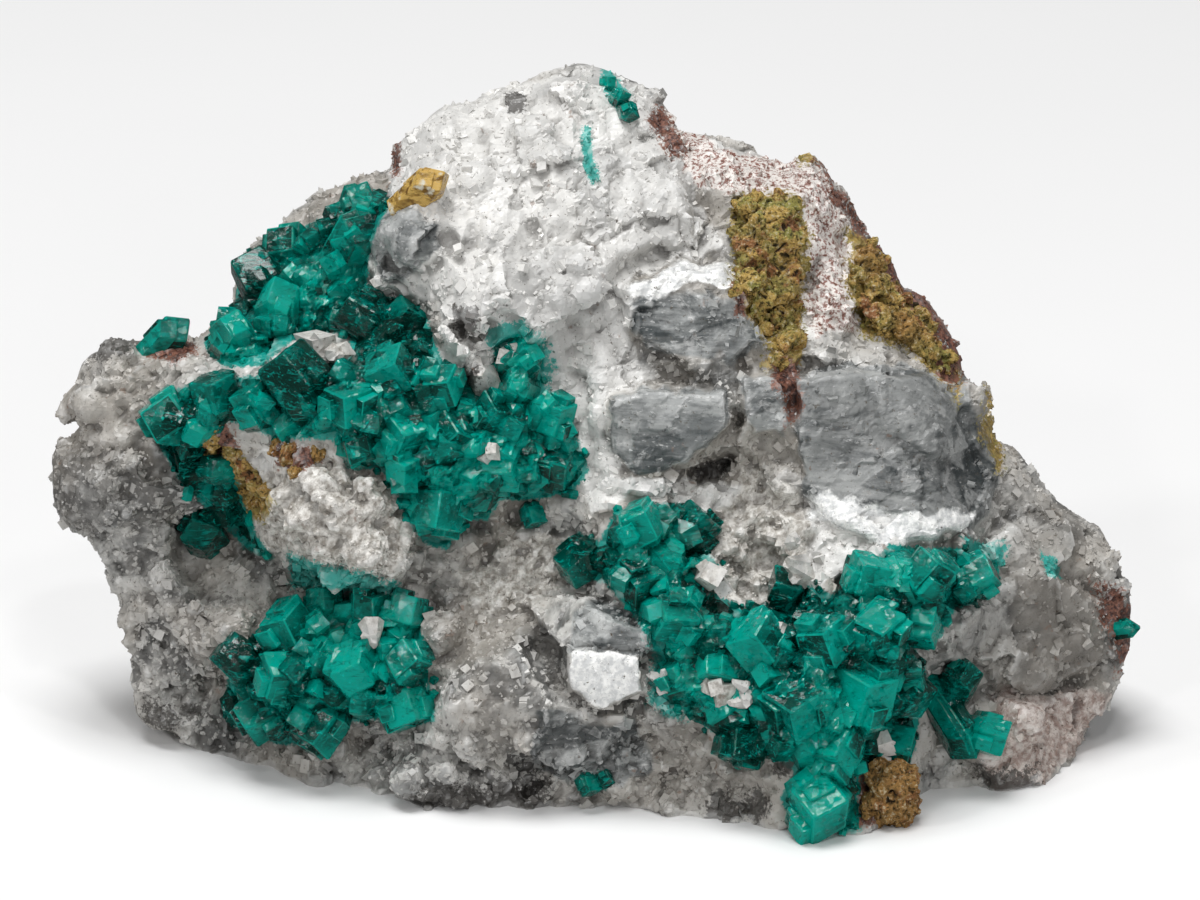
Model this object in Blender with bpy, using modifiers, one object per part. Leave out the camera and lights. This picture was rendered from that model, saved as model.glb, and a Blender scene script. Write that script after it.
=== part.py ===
"""Dioptase on a calcite and quartz matrix: a cabinet specimen that stands on a flat cut base.

Run it with blender --background --python part.py. Metres, +Z up, the origin on the base face.

Points of the showing face are given in millimetres in the face's own frame: u to the right, v up the face
and h out of it. The face leans back by LEAN, so face_to_world turns a point into the upright frame.
"""

import math

import bmesh
import bpy
import numpy as np
from mathutils import Matrix, Vector
from mathutils.bvhtree import BVHTree

MM = 0.001

# The stone, in millimetres: how far its face leans back, a point (u, v, h) of its foot, the level of its rim,
# how far in from the rim the front and the back round off, its middle, and how far each FORM point reaches.
LEAN = math.radians(20)
FOOT = (19.0, 0.2, 15.0)
RIM_LEVEL = -4.0
FRONT_ROUNDING = 6.5
BACK_ROUNDING = 11.0
CENTRE = (-3.0, 31.0)
FORM_REACH = 3.2

# The outline below FOOT_TOP is drawn down by FOOT_DROP, in full from FOOT_BLEND below that level.
FOOT_TOP = 8.0
FOOT_BLEND = 3.0
FOOT_DROP = 6.0

# How finely the stone is meshed: levels of the ball, voxels in millimetres, and triangles in the end.
MATRIX_BALL = 7
MATRIX_VOXEL = 0.6
MATRIX_TRIANGLES = 4000

# Clear space between pieces in millimetres, how much it grows with each new attempt, and how many there are.
GAP = 0.32
GAP_GROWTH = 0.09
MOST_ATTEMPTS = 12

# Crystals: height of the tip's corners as a share of the radius, where the middle stands along the axis as a
# share of the length (listed and filling crystals), how much the axis turns with the face that carries it, the
# least that it points out, and the turn about the axis from one crystal to the next.
TIP_STEEPNESS = 0.62
SEAT = 0.02
FILL_SEAT = -0.1
FOLLOW = 0.25
LEAST_OUT = 0.28
CRUST_SPIN = 1.7
GROUP_SPIN = 1.1
FIRST_SPIN = 0.4

# Scattered spots: how close they come as a share of their sizes, how many are tried, the spread of their sizes,
# and how far inside the outline of a crust they stay, in millimetres.
PACKING = 0.72
TRIES = 400
LARGEST = 1.25
SMALLEST = 0.7
FILL_MARGIN = 0.8

# Plates along the rock: thickness in millimetres of dioptase and of iron oxide, how far behind the face's zero
# their blocks start and how far they reach, and the share of the stone's triangles that their skin keeps.
CRUST_PLATE = 1.8
LIMONITE_PLATE = 0.9
BLOCK_DEPTH = 30.0
BLOCK_REACH = 70.0
SKIN_DETAIL = 0.33

# How a crust that doesn't close at once is changed: its crystals grow, and it is left with more triangles.
CRYSTAL_GROWTH = 0.011
THINNING_STEP = 14

# Iron oxide: voxels and knobs in millimetres, and triangles in each piece.
LIMONITE_VOXEL = 0.5
LIMONITE_TRIANGLES = 170
KNOB = 1.1
KNOB_MARGIN = 0.6
KNOB_STAND = 0.4

# Rays that look for the face start this far out, and the block that cuts the foot flat is this wide and deep, in
# millimetres.
RAY_START = 60.0
FLOOR_BLOCK = 200.0

# The specimen's outline as the face shows it, clockwise from the peak.
OUTLINE = [
    (-1.2, 65.1), (0.6, 64.6), (3.1, 63.3), (5.0, 62.8), (5.7, 61.4), (6.8, 59.5), (9.2, 59.0), (11.4, 58.5),
    (13.6, 57.4), (15.7, 56.6), (17.4, 57.5), (18.6, 56.7), (20.7, 54.1), (21.6, 51.8), (23.5, 49.6),
    (25.1, 45.8), (27.0, 45.2), (28.8, 42.9), (30.1, 40.7), (30.3, 38.9), (31.5, 37.5), (32.8, 35.6),
    (33.5, 33.8), (35.1, 32.2), (37.3, 29.3), (39.6, 27.4), (42.1, 25.7), (43.7, 23.9), (44.2, 21.7),
    (45.0, 19.4), (45.0, 15.5), (44.3, 13.8), (43.1, 11.2), (41.2, 8.9), (39.6, 7.0), (37.7, 4.8),
    (33.8, 3.2), (31.9, 3.7), (29.3, 4.6), (26.8, 4.2), (25.5, 2.8), (23.6, 1.3), (20.8, 0.2), (17.8, 0.2),
    (15.7, 1.6), (14.0, 0.7), (11.2, 1.1), (8.0, 1.9), (4.2, 2.6), (0.0, 2.8), (-2.8, 2.5), (-5.3, 2.3),
    (-8.3, 1.9), (-10.8, 2.3), (-14.0, 3.0), (-18.1, 3.7), (-21.3, 4.1), (-23.3, 4.8), (-27.7, 5.4),
    (-30.8, 6.0), (-33.4, 7.3), (-36.3, 8.6), (-37.9, 8.8), (-39.3, 10.2), (-39.5, 13.1), (-39.8, 15.9),
    (-40.8, 19.3), (-41.8, 22.6), (-43.2, 25.2), (-45.3, 26.1), (-46.0, 28.3), (-46.2, 32.1), (-45.4, 33.2),
    (-43.6, 33.6), (-43.9, 34.7), (-44.8, 35.8), (-45.1, 36.7), (-43.8, 38.3), (-43.6, 39.8), (-42.7, 40.8),
    (-40.8, 41.5), (-39.0, 41.7), (-34.3, 41.6), (-32.2, 43.5), (-30.9, 44.8), (-30.8, 46.1), (-30.3, 47.7),
    (-29.3, 49.2), (-27.5, 50.8), (-26.4, 52.5), (-24.5, 53.8), (-22.3, 54.6), (-20.3, 55.7), (-17.8, 56.1),
    (-17.5, 57.3), (-17.0, 58.2), (-15.3, 59.9), (-13.0, 61.4), (-10.4, 61.8), (-9.2, 62.8), (-6.5, 63.5),
    (-4.8, 64.4),
]

# How far the face stands out (h) at points (u, v): the broad form of the stone.
FORM = [
    (-1, 63, 0), (-8, 61, 1), (3, 61, 1), (-13, 57.5, 3), (-4, 53, 7), (3, 52, 6), (-14, 50, 8), (-10, 45, 10),
    (-2, 42.5, 9), (8, 55, 3), (14, 49, 6), (20.5, 48.5, 4), (27, 42.5, 2), (8, 43.5, 9), (6, 34, 10),
    (16.5, 36.5, 9), (25, 35, 8), (32, 32.5, 4), (25, 27.5, 10), (36.5, 23.5, 3), (41.5, 18.5, -1),
    (36.5, 13.5, 3), (41, 11.5, -3), (32, 6.5, 4), (11.5, 26.5, 8), (0, 30, 9), (-11, 33, 11.5), (-18, 35, 12),
    (-25, 37.5, 11), (-31.5, 36.5, 8), (-22.5, 50, 2), (-27.5, 46, 1), (-18, 47, 4), (-41.5, 39, 0),
    (-42.5, 31, -1), (-37, 30, 2), (-32.5, 23.5, 0), (-26, 21, 2), (-37.5, 18, 0), (-37.5, 11.5, -4),
    (-33.5, 8, -4), (-21.5, 27, 12), (-23.5, 14, 9), (-15, 15, 9), (-22.5, 6, 3), (-12.5, 21.5, 7),
    (-6, 23.5, 6), (-8.5, 13.5, 12), (0, 14, 12.5), (-10, 4, 8), (0, 6, 9), (8.5, 5, 9), (3.5, 23.5, 12),
    (8.5, 16.5, 14), (18.5, 16.5, 15), (25, 20, 13), (16.5, 10, 15.5), (20.5, 3, 13.5), (26.5, 8, 8),
    (0, 2.8, 7.9), (8, 1.9, 9.8), (-11, 2.3, 8.9), (-21.5, 4, 4), (-31, 6, -1.5), (34, 3, 5.5), (29.5, 4.5, 3.5),
    (14, 0.7, 12.5), (-18, 0, 6), (0, -3, 8), (14, -3, 12.5), (30, 0, 5), (15, 22.5, 10), (-28, 18, 5),
]

# The fracture planes of the rear: how deep each lies at u = 0, v = 20, and its slopes to the right and up.
BACK_PLANES = [
    (27.5, 0.02, 0.04), (38.0, 0.42, 0.02), (39.0, -0.38, 0.05), (44.0, 0.25, -0.30), (43.0, -0.22, -0.28),
    (29.0, 0.05, 0.36),
]

# Raised or sunk slabs of the face: outline, rise, width of the edge, how much calmer than the rubble the slab's
# own face is (1 is flat), and how the face tilts to the right and up.
SLABS = {
    "white_crest": ([(-17.1, 57.5), (-13.3, 60.8), (-3.3, 64.2), (3.3, 62.5), (5.5, 58), (7.7, 52.5), (6.5, 49.5),
                     (2.4, 48.8), (-3.3, 42.5), (-10, 39.2), (-12.5, 40.8), (-16.7, 45.8), (-19, 46.7), (-19.3, 50.4),
                     (-17.1, 52.1)], 2.6, 1.4, 0.0, 0, 0),
    "crest_lump": ([(-19.2, 51.2), (-17.1, 55.2), (-12.5, 54.5), (-13.2, 50.6), (-16.5, 48.2)], 1.8, 1.0, 0.3, 0, 0),
    "ridge_slab": ([(1.8, 45.7), (6.7, 47.7), (10.7, 47.9), (11.8, 45), (13.5, 41.3), (11.3, 39.8), (7.5, 39.8),
                    (4.2, 40.8), (2.7, 42.5)], 1.6, 1.0, 0.6, 0.05, 0.3),
    "grey_block": ([(0.8, 36.8), (3.3, 37.7), (10.2, 37.3), (10.8, 34.3), (8.5, 32.5), (6.8, 31.2), (3.3, 30.7),
                    (1.3, 32.5)], 2.6, 0.6, 0.9, 0.12, 0.16),
    "small_block": ([(11.5, 39), (15.2, 39), (15.7, 34.3), (12.3, 33.3)], 1.6, 0.7, 0.6, -0.1, 0.1),
    "dark_slab": ([(16, 38.5), (23.3, 39.3), (29.6, 38.5), (32.5, 35.2), (33.5, 30.8), (32.1, 26.7), (27.5, 24.8),
                   (21.8, 25.2), (17.9, 27.3), (16.3, 32.5)], 1.6, 1.0, 0.8, -0.04, 0.12),
    "dark_slab_step": ([(22.5, 39), (29.5, 38.4), (32.4, 35.2), (32.8, 33), (27.5, 32), (23, 34.5)], 1.0, 0.7, 0.4,
                       0.1, 0.1),
    "pale_ledge": ([(15.2, 26.7), (20.8, 27.3), (25.4, 24.6), (22.7, 23.3), (19.8, 21.7), (15.8, 22.3)], 1.2, 0.8,
                   0.4, 0, -0.1),
    "pearly_rhomb": ([(-2.8, 16.3), (3.3, 15.8), (3.5, 12.3), (0.7, 11.4), (-2.7, 12.5)], 2.4, 0.5, 0.95, 0.1, 0.1),
    "thin_slab": ([(-5.8, 19.8), (-1, 20.3), (0.2, 18.8), (3.8, 17.7), (4.2, 16), (-3.3, 16.5), (-5.3, 18.2)],
                  2.6, 0.6, 0.7, 0.1, 0.2),
    "round_block": ([(-13.1, 10.4), (-12.5, 13.3), (-10.4, 15.4), (-7.1, 16.5), (-4.6, 14.8), (-3.3, 11.7),
                     (-5, 7.9), (-10, 7.1)], 2.2, 1.5, 0.5, -0.08, 0.05),
    "corner_block": ([(-4.6, 11.7), (2.7, 10.8), (0.4, 6.3), (-5, 5.8)], 1.8, 0.9, 0.6, 0.05, 0.1),
    "foot_block": ([(-17, 8.5), (-12.5, 9), (-10.5, 6), (-12, 3.2), (-16.5, 4)], 1.4, 0.9, 0.4, -0.1, 0.1),
    "left_knob": ([(-47, 33), (-42.1, 33.3), (-38.8, 32.1), (-37.5, 30), (-34.2, 29.6), (-33.8, 27.9),
                   (-38.3, 26.7), (-40.8, 25.8), (-45.5, 25), (-47.5, 29.2)], 3.2, 1.3, 0.4, 0, 0),
    "left_barrel": ([(-46.3, 36.8), (-43.3, 38.3), (-40.8, 37.5), (-38.3, 34.2), (-39.2, 32.7), (-42.3, 32.9),
                     (-45.2, 35.4)], 2.4, 0.9, 0.6, 0, 0),
    "left_cap": ([(-44.6, 40.4), (-40.8, 42.4), (-37.5, 41.8), (-32.9, 40.8), (-32.5, 38.8), (-34.2, 37.1),
                  (-37.5, 35), (-39.6, 36.3), (-42.5, 38.3)], 2.4, 1.1, 0.5, 0, 0),
    "nodule_ledge": ([(-28.8, 26.7), (-26.7, 30), (-22.5, 30.8), (-18.3, 30), (-16.7, 26.7), (-15, 23.3),
                      (-17.1, 20.8), (-21.7, 21.7), (-25.8, 22.9), (-27.7, 23.8)], 1.4, 1.1, 0.0, 0, 0),
    "right_shoulder": ([(29.2, 19), (36.5, 22.5), (41.5, 20), (43.5, 15), (38, 12.5), (31, 12.5), (28.5, 15.5)],
                       1.8, 1.2, 0.5, -0.05, 0.1),
    "right_foot": ([(31, 11.8), (38, 11.9), (43, 13.2), (42, 9), (37.5, 4.5), (33, 4.5), (31, 8)], 1.2, 1.0, 0.3,
                   0, 0),
    "recess": ([(-35.8, 26.7), (-30.8, 28.3), (-28.2, 23.3), (-22.5, 21.3), (-25, 19.2), (-29.2, 18.8), (-34.2, 20),
                (-36.3, 23.3)], -3.4, 1.5, 0.3, 0, 0),
    "crack": ([(7.5, 30.8), (11.3, 32.3), (10.4, 30.4), (8.3, 30)], -3.0, 0.6, 0, 0, 0),
    "dark_gap": ([(-6.2, 17), (-3.4, 16.2), (-2.9, 12.2), (-4.6, 13), (-6, 15)], -2.2, 0.6, 0, 0, 0),
    "groove": ([(-21.3, 8.8), (-13.3, 8.2), (-5, 6.7), (-3.3, 5.4), (-13.3, 6.3), (-20, 6.7)], -1.5, 0.9, 0, 0, 0),
    "arm_shadow": ([(25.4, 16.3), (28.3, 16.7), (29.2, 19), (31, 18), (28.5, 12.5), (27.3, 12.5)], -2.0, 0.9, 0,
                   0, 0),
    "left_gap": ([(-36.9, 33.5), (-33.8, 33), (-31.5, 28.5), (-34.2, 29.6)], -2.2, 0.8, 0, 0, 0),
    "crest_gap": ([(-10.4, 42.3), (-7.5, 44), (-5.8, 42.3), (-7, 39.6), (-10, 39.5)], -1.0, 0.9, 0, 0, 0),
}

# Rounded lumps of quartz that stand on the face: u, v, radius, how far the middle stands out of the face.
NODULES = [
    (-26.4, 28.3, 1.5, 0.4), (-24.2, 27.1, 1.8, 0.6), (-21.3, 26.7, 1.6, 0.5), (-19.3, 24.3, 2.0, 0.8),
    (-22.5, 24.6, 1.7, 0.5), (-17.1, 23.3, 1.5, 0.5), (-21.7, 22.3, 1.6, 0.6), (8.8, 22.5, 1.5, 0.6),
    (13.3, 26.7, 1.6, 0.4), (11.3, 29.2, 1.8, 0.4), (18.3, 20.8, 1.5, 1.0), (15.4, 29.6, 1.6, 0.3),
    (-8.3, 5.8, 1.3, 0.5), (-5.8, 8.6, 1.4, 0.6), (-11, 8.2, 1.3, 0.4), (-7.9, 20.8, 1.4, 0.5),
    (-10, 21.7, 1.3, 0.4), (-34.5, 17.5, 1.7, 0.3), (-30.5, 17.8, 1.6, 0.3), (-36.8, 21.5, 1.6, 0.3),
    (-13.3, 17.5, 1.8, 0.4), (-11.3, 24.8, 1.6, 0.4), (-42.8, 36.3, 1.7, 0.5), (-40.6, 40.3, 1.8, 0.3),
    (-18.2, 12.3, 1.2, 0.2), (1.8, 4.8, 1.5, 0.3), (-15.8, 5.3, 1.4, 0.4), (35.5, 9.5, 1.9, 0.2),
    (-15.0, 49.6, 2.3, 0.7), (5.5, 57.8, 1.8, 0.3), (-5.5, 58.5, 2.2, 0.2), (-10.8, 54.2, 2.4, 0.2),
    (39.8, 16.5, 1.8, 0.2), (30.6, 36.5, 1.8, 0.2),
]

# Crusts of dioptase: the outline of each, and its own crystals as (u, v, radius, length, lean right, lean up).
CRUSTS = {
    "dioptase_upper_left": {
        "outline": [(-30.6, 45), (-30.1, 47.7), (-29, 49.3), (-27.1, 50.4), (-25, 51), (-22.5, 52.1), (-21.3, 53.8),
                    (-19.3, 54.4), (-17.6, 53), (-18.6, 51.3), (-19.4, 49.2), (-19.6, 45.8), (-20.7, 42.4),
                    (-23.5, 42.5), (-25.8, 41.7), (-28.2, 39.6), (-31.2, 39.6), (-32.4, 40.6), (-33, 41.5),
                    (-31.8, 43.3)],
        "crystals": [(-27.6, 46.4, 2.5, 5.2, -0.9, 0.5), (-25.6, 48.9, 2.0, 4.6, -0.7, 0.7),
                     (-23.2, 46.0, 1.8, 6.4, 0.5, 0.9), (-21.2, 48.8, 1.9, 6.6, 0.5, 0.9),
                     (-20.4, 51.8, 1.7, 5.0, 0.4, 0.9), (-30.0, 41.6, 1.8, 4.2, -0.6, 0.5),
                     (-26.6, 43.2, 2.0, 5.6, -0.3, 0.9), (-22.0, 43.6, 1.8, 4.4, 0.3, -0.6)],
        "size": 1.5, "seed": 11, "triangles": 350,
    },
    "dioptase_left_band": {
        "outline": [(-37.1, 35.6), (-35.2, 37.3), (-32.1, 38.3), (-27.9, 38.5), (-25, 39.4), (-22.5, 38.6),
                    (-20.6, 40.8), (-20.4, 43.8), (-19.2, 45), (-16.7, 45), (-14.5, 43.3), (-13.5, 40.4),
                    (-11.5, 37.9), (-8.3, 36.9), (-8.6, 41), (-6.7, 42.2), (-4.8, 41.2), (-5, 37.1), (-2.7, 35.6),
                    (-2, 33.3), (-1.1, 30.8), (-2.3, 29.3), (-5, 28.6), (-8.3, 28.6), (-9.4, 26.9), (-11.5, 26.8),
                    (-12.8, 24.4), (-14.6, 24.9), (-15.7, 26.9), (-16.7, 29.4), (-17.9, 31), (-20.7, 31.2),
                    (-21.9, 33.5), (-26.7, 33.6), (-30.8, 35.2), (-32.7, 33), (-30.5, 30.8), (-29.7, 28.3),
                    (-29, 25.4), (-27.6, 23.5), (-29.6, 24.2), (-32.1, 26.8), (-35, 30.2), (-36.9, 33.3)],
        "crystals": [(-24.8, 37.9, 2.9, 5.4, -0.3, 0.6), (-34.7, 35.0, 2.5, 5.6, -0.7, 0.2),
                     (-31.6, 36.7, 2.2, 4.6, -0.2, 0.5), (-33.2, 31.2, 2.0, 4.2, -0.6, -0.3),
                     (-19.3, 43.0, 2.3, 4.6, -0.4, 0.5), (-16.3, 42.6, 2.2, 4.2, 0.1, 0.4),
                     (-17.2, 38.6, 2.5, 5.0, 0.0, 0.2), (-13.4, 37.6, 2.0, 4.6, 0.3, 0.2),
                     (-20.7, 36.1, 2.3, 4.6, -0.1, 0.1), (-16.5, 34.2, 2.4, 5.0, 0.1, -0.1),
                     (-12.6, 33.6, 2.4, 4.6, 0.2, 0.1), (-13.2, 28.4, 2.6, 5.2, -0.1, -0.5),
                     (-8.6, 31.4, 2.5, 4.6, 0.3, -0.3), (-4.6, 31.6, 2.3, 4.6, 0.5, -0.1),
                     (-4.4, 35.0, 2.1, 4.2, 0.4, 0.4), (-8.9, 35.2, 2.0, 4.0, 0.2, 0.3),
                     (-6.8, 39.6, 1.7, 3.2, 0.1, 0.4), (-28.4, 36.2, 2.0, 4.4, -0.3, 0.1)],
        "size": 1.55, "seed": 12, "triangles": 1000,
    },
    "dioptase_lower_cluster": {
        "outline": [(-31, 14.6), (-30.6, 16.2), (-28, 16.5), (-27.3, 18.6), (-25, 19.3), (-22.9, 20.6), (-21.3, 20.2),
                    (-17.9, 20), (-16.3, 20.2), (-15.2, 18.8), (-14.8, 16.7), (-14.4, 13.3), (-13.8, 10.2),
                    (-15.7, 9.7), (-18.8, 10.3), (-21.3, 9.9), (-22.9, 8.3), (-26.7, 7.9), (-29.2, 8.7),
                    (-31, 9.3), (-31.6, 10.9), (-31.2, 12.5)],
        "crystals": [(-29.6, 15.2, 2.0, 4.8, -0.6, 0.3), (-25.6, 17.2, 2.5, 5.2, -0.2, 0.4),
                     (-22.7, 19.2, 1.7, 4.2, -0.1, 0.7), (-19.3, 18.6, 1.8, 4.6, 0.2, 0.5),
                     (-16.5, 18.4, 1.9, 4.4, 0.5, 0.5), (-16.6, 11.8, 2.2, 4.8, 0.4, -0.5),
                     (-20.4, 14.2, 2.3, 5.0, 0.1, 0.0), (-23.3, 10.2, 2.6, 5.2, 0.0, -0.5),
                     (-27.6, 10.8, 2.4, 5.0, -0.4, -0.4), (-26.2, 13.8, 2.2, 4.8, -0.2, 0.0),
                     (-16.4, 15.2, 2.0, 4.6, 0.5, 0.0)],
        "size": 1.5, "seed": 13, "triangles": 500,
    },
    "dioptase_right_band": {
        "outline": [(-3.2, 24.6), (-1.8, 25.4), (0, 24.7), (1.2, 26.9), (3.3, 27.8), (6.7, 27.9), (8.3, 26.3),
                    (8.5, 24.2), (9.6, 22.9), (8, 22.1), (9.8, 20.3), (12.1, 19.1), (14.2, 19.3), (15.5, 19.8),
                    (14.4, 20.8), (14.6, 22.6), (15.8, 21.7), (19.2, 20.4), (21.9, 22.5), (24, 24.6), (26.7, 24.2),
                    (29.2, 24.2), (32.1, 23.9), (33.2, 22.9), (32.9, 21), (30.8, 20), (29.2, 19.6), (28, 17.1),
                    (25.4, 16.6), (26.8, 14.6), (27.1, 12.5), (26.3, 10), (26.1, 7.7), (25, 6.7), (22.5, 6.8),
                    (21, 4.4), (21.4, 1.2), (18.1, 1.0), (16, 1.9), (15, 3.8), (16.2, 6.2), (14.2, 7.4),
                    (10.4, 7), (10, 9), (7.9, 10.4), (4.6, 12.7), (5, 14.8), (4.4, 16.7), (2.3, 19.8), (0.4, 21.8),
                    (-1.7, 22), (-3, 23)],
        "crystals": [(7.2, 25.6, 2.2, 4.8, 0.3, 0.5), (3.6, 25.6, 2.2, 4.6, 0.0, 0.5),
                     (-1.2, 23.4, 2.0, 4.6, -0.5, -0.2), (3.4, 21.4, 2.2, 4.6, -0.3, 0.0),
                     (6.6, 18.6, 2.4, 4.8, -0.3, -0.1), (9.4, 15.0, 2.2, 4.6, -0.2, -0.2),
                     (13.4, 16.6, 2.7, 5.0, -0.2, 0.2), (18.4, 16.4, 2.6, 5.2, 0.0, 0.3),
                     (22.4, 17.8, 2.5, 5.0, 0.1, -0.3), (22.4, 21.6, 2.3, 4.8, -0.1, 0.5),
                     (26.6, 22.0, 2.3, 4.8, 0.2, 0.4), (30.6, 22.0, 1.9, 4.4, 0.7, 0.1),
                     (26.2, 18.4, 2.0, 4.4, 0.4, -0.4), (16.4, 11.6, 3.0, 5.4, -0.2, -0.1),
                     (21.4, 12.2, 3.0, 5.4, 0.1, 0.1), (24.6, 12.6, 2.6, 5.2, 0.5, 0.1),
                     (12.0, 8.6, 2.1, 4.4, -0.3, -0.5), (19.2, 8.0, 2.4, 4.8, 0.0, -0.3),
                     (23.6, 8.4, 2.2, 4.6, 0.4, -0.2), (18.2, 3.6, 2.9, 5.4, -0.2, -0.4),
                     (15.8, 21.0, 1.8, 4.0, -0.4, 0.3)],
        "size": 1.55, "seed": 14, "triangles": 1000,
    },
}

# Crystals and small groups that stand on the matrix by themselves.
GROUPS = {
    "dioptase_right_prisms": [(28.4, 11.2, 1.7, 8.6, 0.45, -0.86), (29.6, 12.4, 1.5, 5.6, 0.1, 0.7),
                              (31.8, 8.8, 1.8, 4.8, 0.6, -0.2)],
    "dioptase_recess_crystal": [(-33.2, 25.2, 2.1, 5.6, -0.35, 0.45)],
    "dioptase_left_edge_crystal": [(-36.8, 41.2, 1.7, 4.8, 0.75, 0.5)],
    "dioptase_ledge_crystal": [(-5.4, 27.2, 1.2, 3.4, 0.0, -0.4)],
    "dioptase_foot_crystals": [(-1.0, 4.9, 1.1, 2.8, 0.0, -0.2), (0.1, 5.1, 0.8, 2.4, 0.4, 0.2)],
    "dioptase_crest_crystals": [(1.6, 61.7, 0.8, 2.6, 0.2, 0.4), (2.2, 60.7, 0.9, 2.4, 0.3, -0.2),
                                (0.8, 62.9, 0.7, 2.2, -0.2, 0.5)],
    "dioptase_edge_crystal": [(44.2, 17.4, 0.9, 1.9, 0.8, 0.0)],
}

# Iron oxide: porous crusts on the upper right, and a lump at the foot.
LIMONITE_CRUSTS = {
    "limonite_upper_crust": [(11.1, 53.4), (13.8, 53.8), (16.5, 53), (17.1, 50), (16.5, 45), (17, 41.2), (15.6, 39.8),
                             (14.2, 40.4), (12.9, 43.3), (11, 45), (11.8, 49.2), (11, 51.7)],
    "limonite_ridge_crust": [(21.1, 50.2), (22.4, 49.6), (24, 46.3), (26.4, 44.2), (28.2, 41.7), (29.2, 39.6),
                             (29.3, 37.8), (28.6, 39), (26.3, 39.8), (24.2, 42.3), (22, 42.7), (21, 45.8)],
}
LIMONITE_LUMPS = [(24.2, 4.9, 12.2, 2.1), (24.5, 3.2, 11.2, 1.9), (23.1, 3.0, 12.0, 1.6), (23.2, 5.6, 12.4, 1.5)]
STAINED_QUARTZ = (-15.0, 53.5, 1.5, 5.2, 0.72, 0.42)

COLOURS = {
    "matrix": (0.66, 0.64, 0.61, 0.55),
    "dioptase": (0.0, 0.33, 0.24, 0.18),
    "limonite": (0.33, 0.21, 0.05, 0.85),
    "stained_quartz": (0.62, 0.42, 0.12, 0.25),
}


def floor_height():
    """The height that puts the foot of the face on the floor."""
    return -(FOOT[1] * math.cos(LEAN) + FOOT[2] * math.sin(LEAN))


def face_to_world(u, v, h):
    """Millimetres in the face's frame to metres in the upright frame."""
    y = v * math.sin(LEAN) - h * math.cos(LEAN)
    z = v * math.cos(LEAN) + h * math.sin(LEAN) + floor_height()
    return np.stack([u * MM, y * MM, z * MM], axis=-1)


def direction(right, up, out):
    """A direction of the face's frame in the upright frame."""
    return Vector((right, up * math.sin(LEAN) - out * math.cos(LEAN), up * math.cos(LEAN) + out * math.sin(LEAN)))


OUT = direction(0, 0, 1)


def smooth(x):
    x = np.clip(x, 0, 1)
    return x * x * (3 - 2 * x)


def inside_distance(points, outline):
    """How far each point (N, 2) lies inside the outline; negative outside it."""
    outline = np.asarray(outline, float)
    nearest = np.full(len(points), 1e9)
    inside = np.zeros(len(points), bool)
    x, y = points[:, 0], points[:, 1]
    for (ax, ay), (bx, by) in zip(outline, np.roll(outline, -1, axis=0)):
        ex, ey = bx - ax, by - ay
        t = np.clip(((x - ax) * ex + (y - ay) * ey) / (ex * ex + ey * ey), 0, 1)
        nearest = np.minimum(nearest, (x - ax - t * ex) ** 2 + (y - ay - t * ey) ** 2)
        slope = ex / (ey if abs(ey) > 1e-9 else 1e-9)
        inside ^= ((ay > y) != (by > y)) & (x < slope * (y - ay) + ax)
    return np.where(inside, 1, -1) * np.sqrt(nearest)


def lattice(ix, iy, iz, seed):
    """A repeatable random number from 0 to 1 for each lattice point."""
    n = np.sin(ix * 127.1 + iy * 311.7 + iz * 74.7 + seed * 53.3) * 43758.5453
    return n - np.floor(n)


def lumps(points, size, seed):
    """Rounded cobbles of about that size: 1 at the middle of each, 0 in the joints between them."""
    p = points / size
    cell = np.floor(p)
    first = np.full(len(p), 9.0)
    second = np.full(len(p), 9.0)
    for dx in (-1, 0, 1):
        for dy in (-1, 0, 1):
            for dz in (-1, 0, 1):
                near = cell + (dx, dy, dz)
                spot = np.stack([near[:, k] + lattice(*near.T, seed + k) for k in range(3)], axis=-1)
                gap = np.linalg.norm(spot - p, axis=1)
                second = np.minimum(second, np.maximum(first, gap))
                first = np.minimum(first, gap)
    return smooth((second - first) * 1.6)


def facets(points, size, seed):
    """Broken crystal faces of about that size, each flat and tilted at random: their height, from about -1 to 1."""
    p = points / size
    cell = np.floor(p)
    nearest = np.full(len(p), 9.0)
    height = np.zeros(len(p))
    for dx in (-1, 0, 1):
        for dy in (-1, 0, 1):
            for dz in (-1, 0, 1):
                near = cell + (dx, dy, dz)
                spot = np.stack([near[:, k] + lattice(*near.T, seed + k) for k in range(3)], axis=-1)
                lean = np.stack([lattice(*near.T, seed + 3 + k) - 0.5 for k in range(3)], axis=-1)
                rise = 2.4 * (lean * (p - spot)).sum(axis=1) + 0.7 * (lattice(*near.T, seed + 6) - 0.5)
                gap = np.linalg.norm(spot - p, axis=1)
                height = np.where(gap < nearest, rise, height)
                nearest = np.minimum(nearest, gap)
    return height


def waves(points, size, seed):
    """Smooth noise from -1 to 1 with features of about that size."""
    p = points / size
    cell = np.floor(p)
    f = smooth(p - cell)
    total = np.zeros(len(p))
    for dx in (0, 1):
        for dy in (0, 1):
            for dz in (0, 1):
                weight = (f[:, 0] if dx else 1 - f[:, 0]) * (f[:, 1] if dy else 1 - f[:, 1])
                weight = weight * (f[:, 2] if dz else 1 - f[:, 2])
                total += weight * lattice(*(cell + (dx, dy, dz)).T, seed)
    return total * 2 - 1


def lowered_outline():
    """The outline with its foot drawn down below the floor, so that the cut and not the rim ends it."""
    outline = np.array(OUTLINE, float)
    outline[:, 1] -= FOOT_DROP * smooth((FOOT_TOP - outline[:, 1]) / FOOT_BLEND)
    return outline


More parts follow.
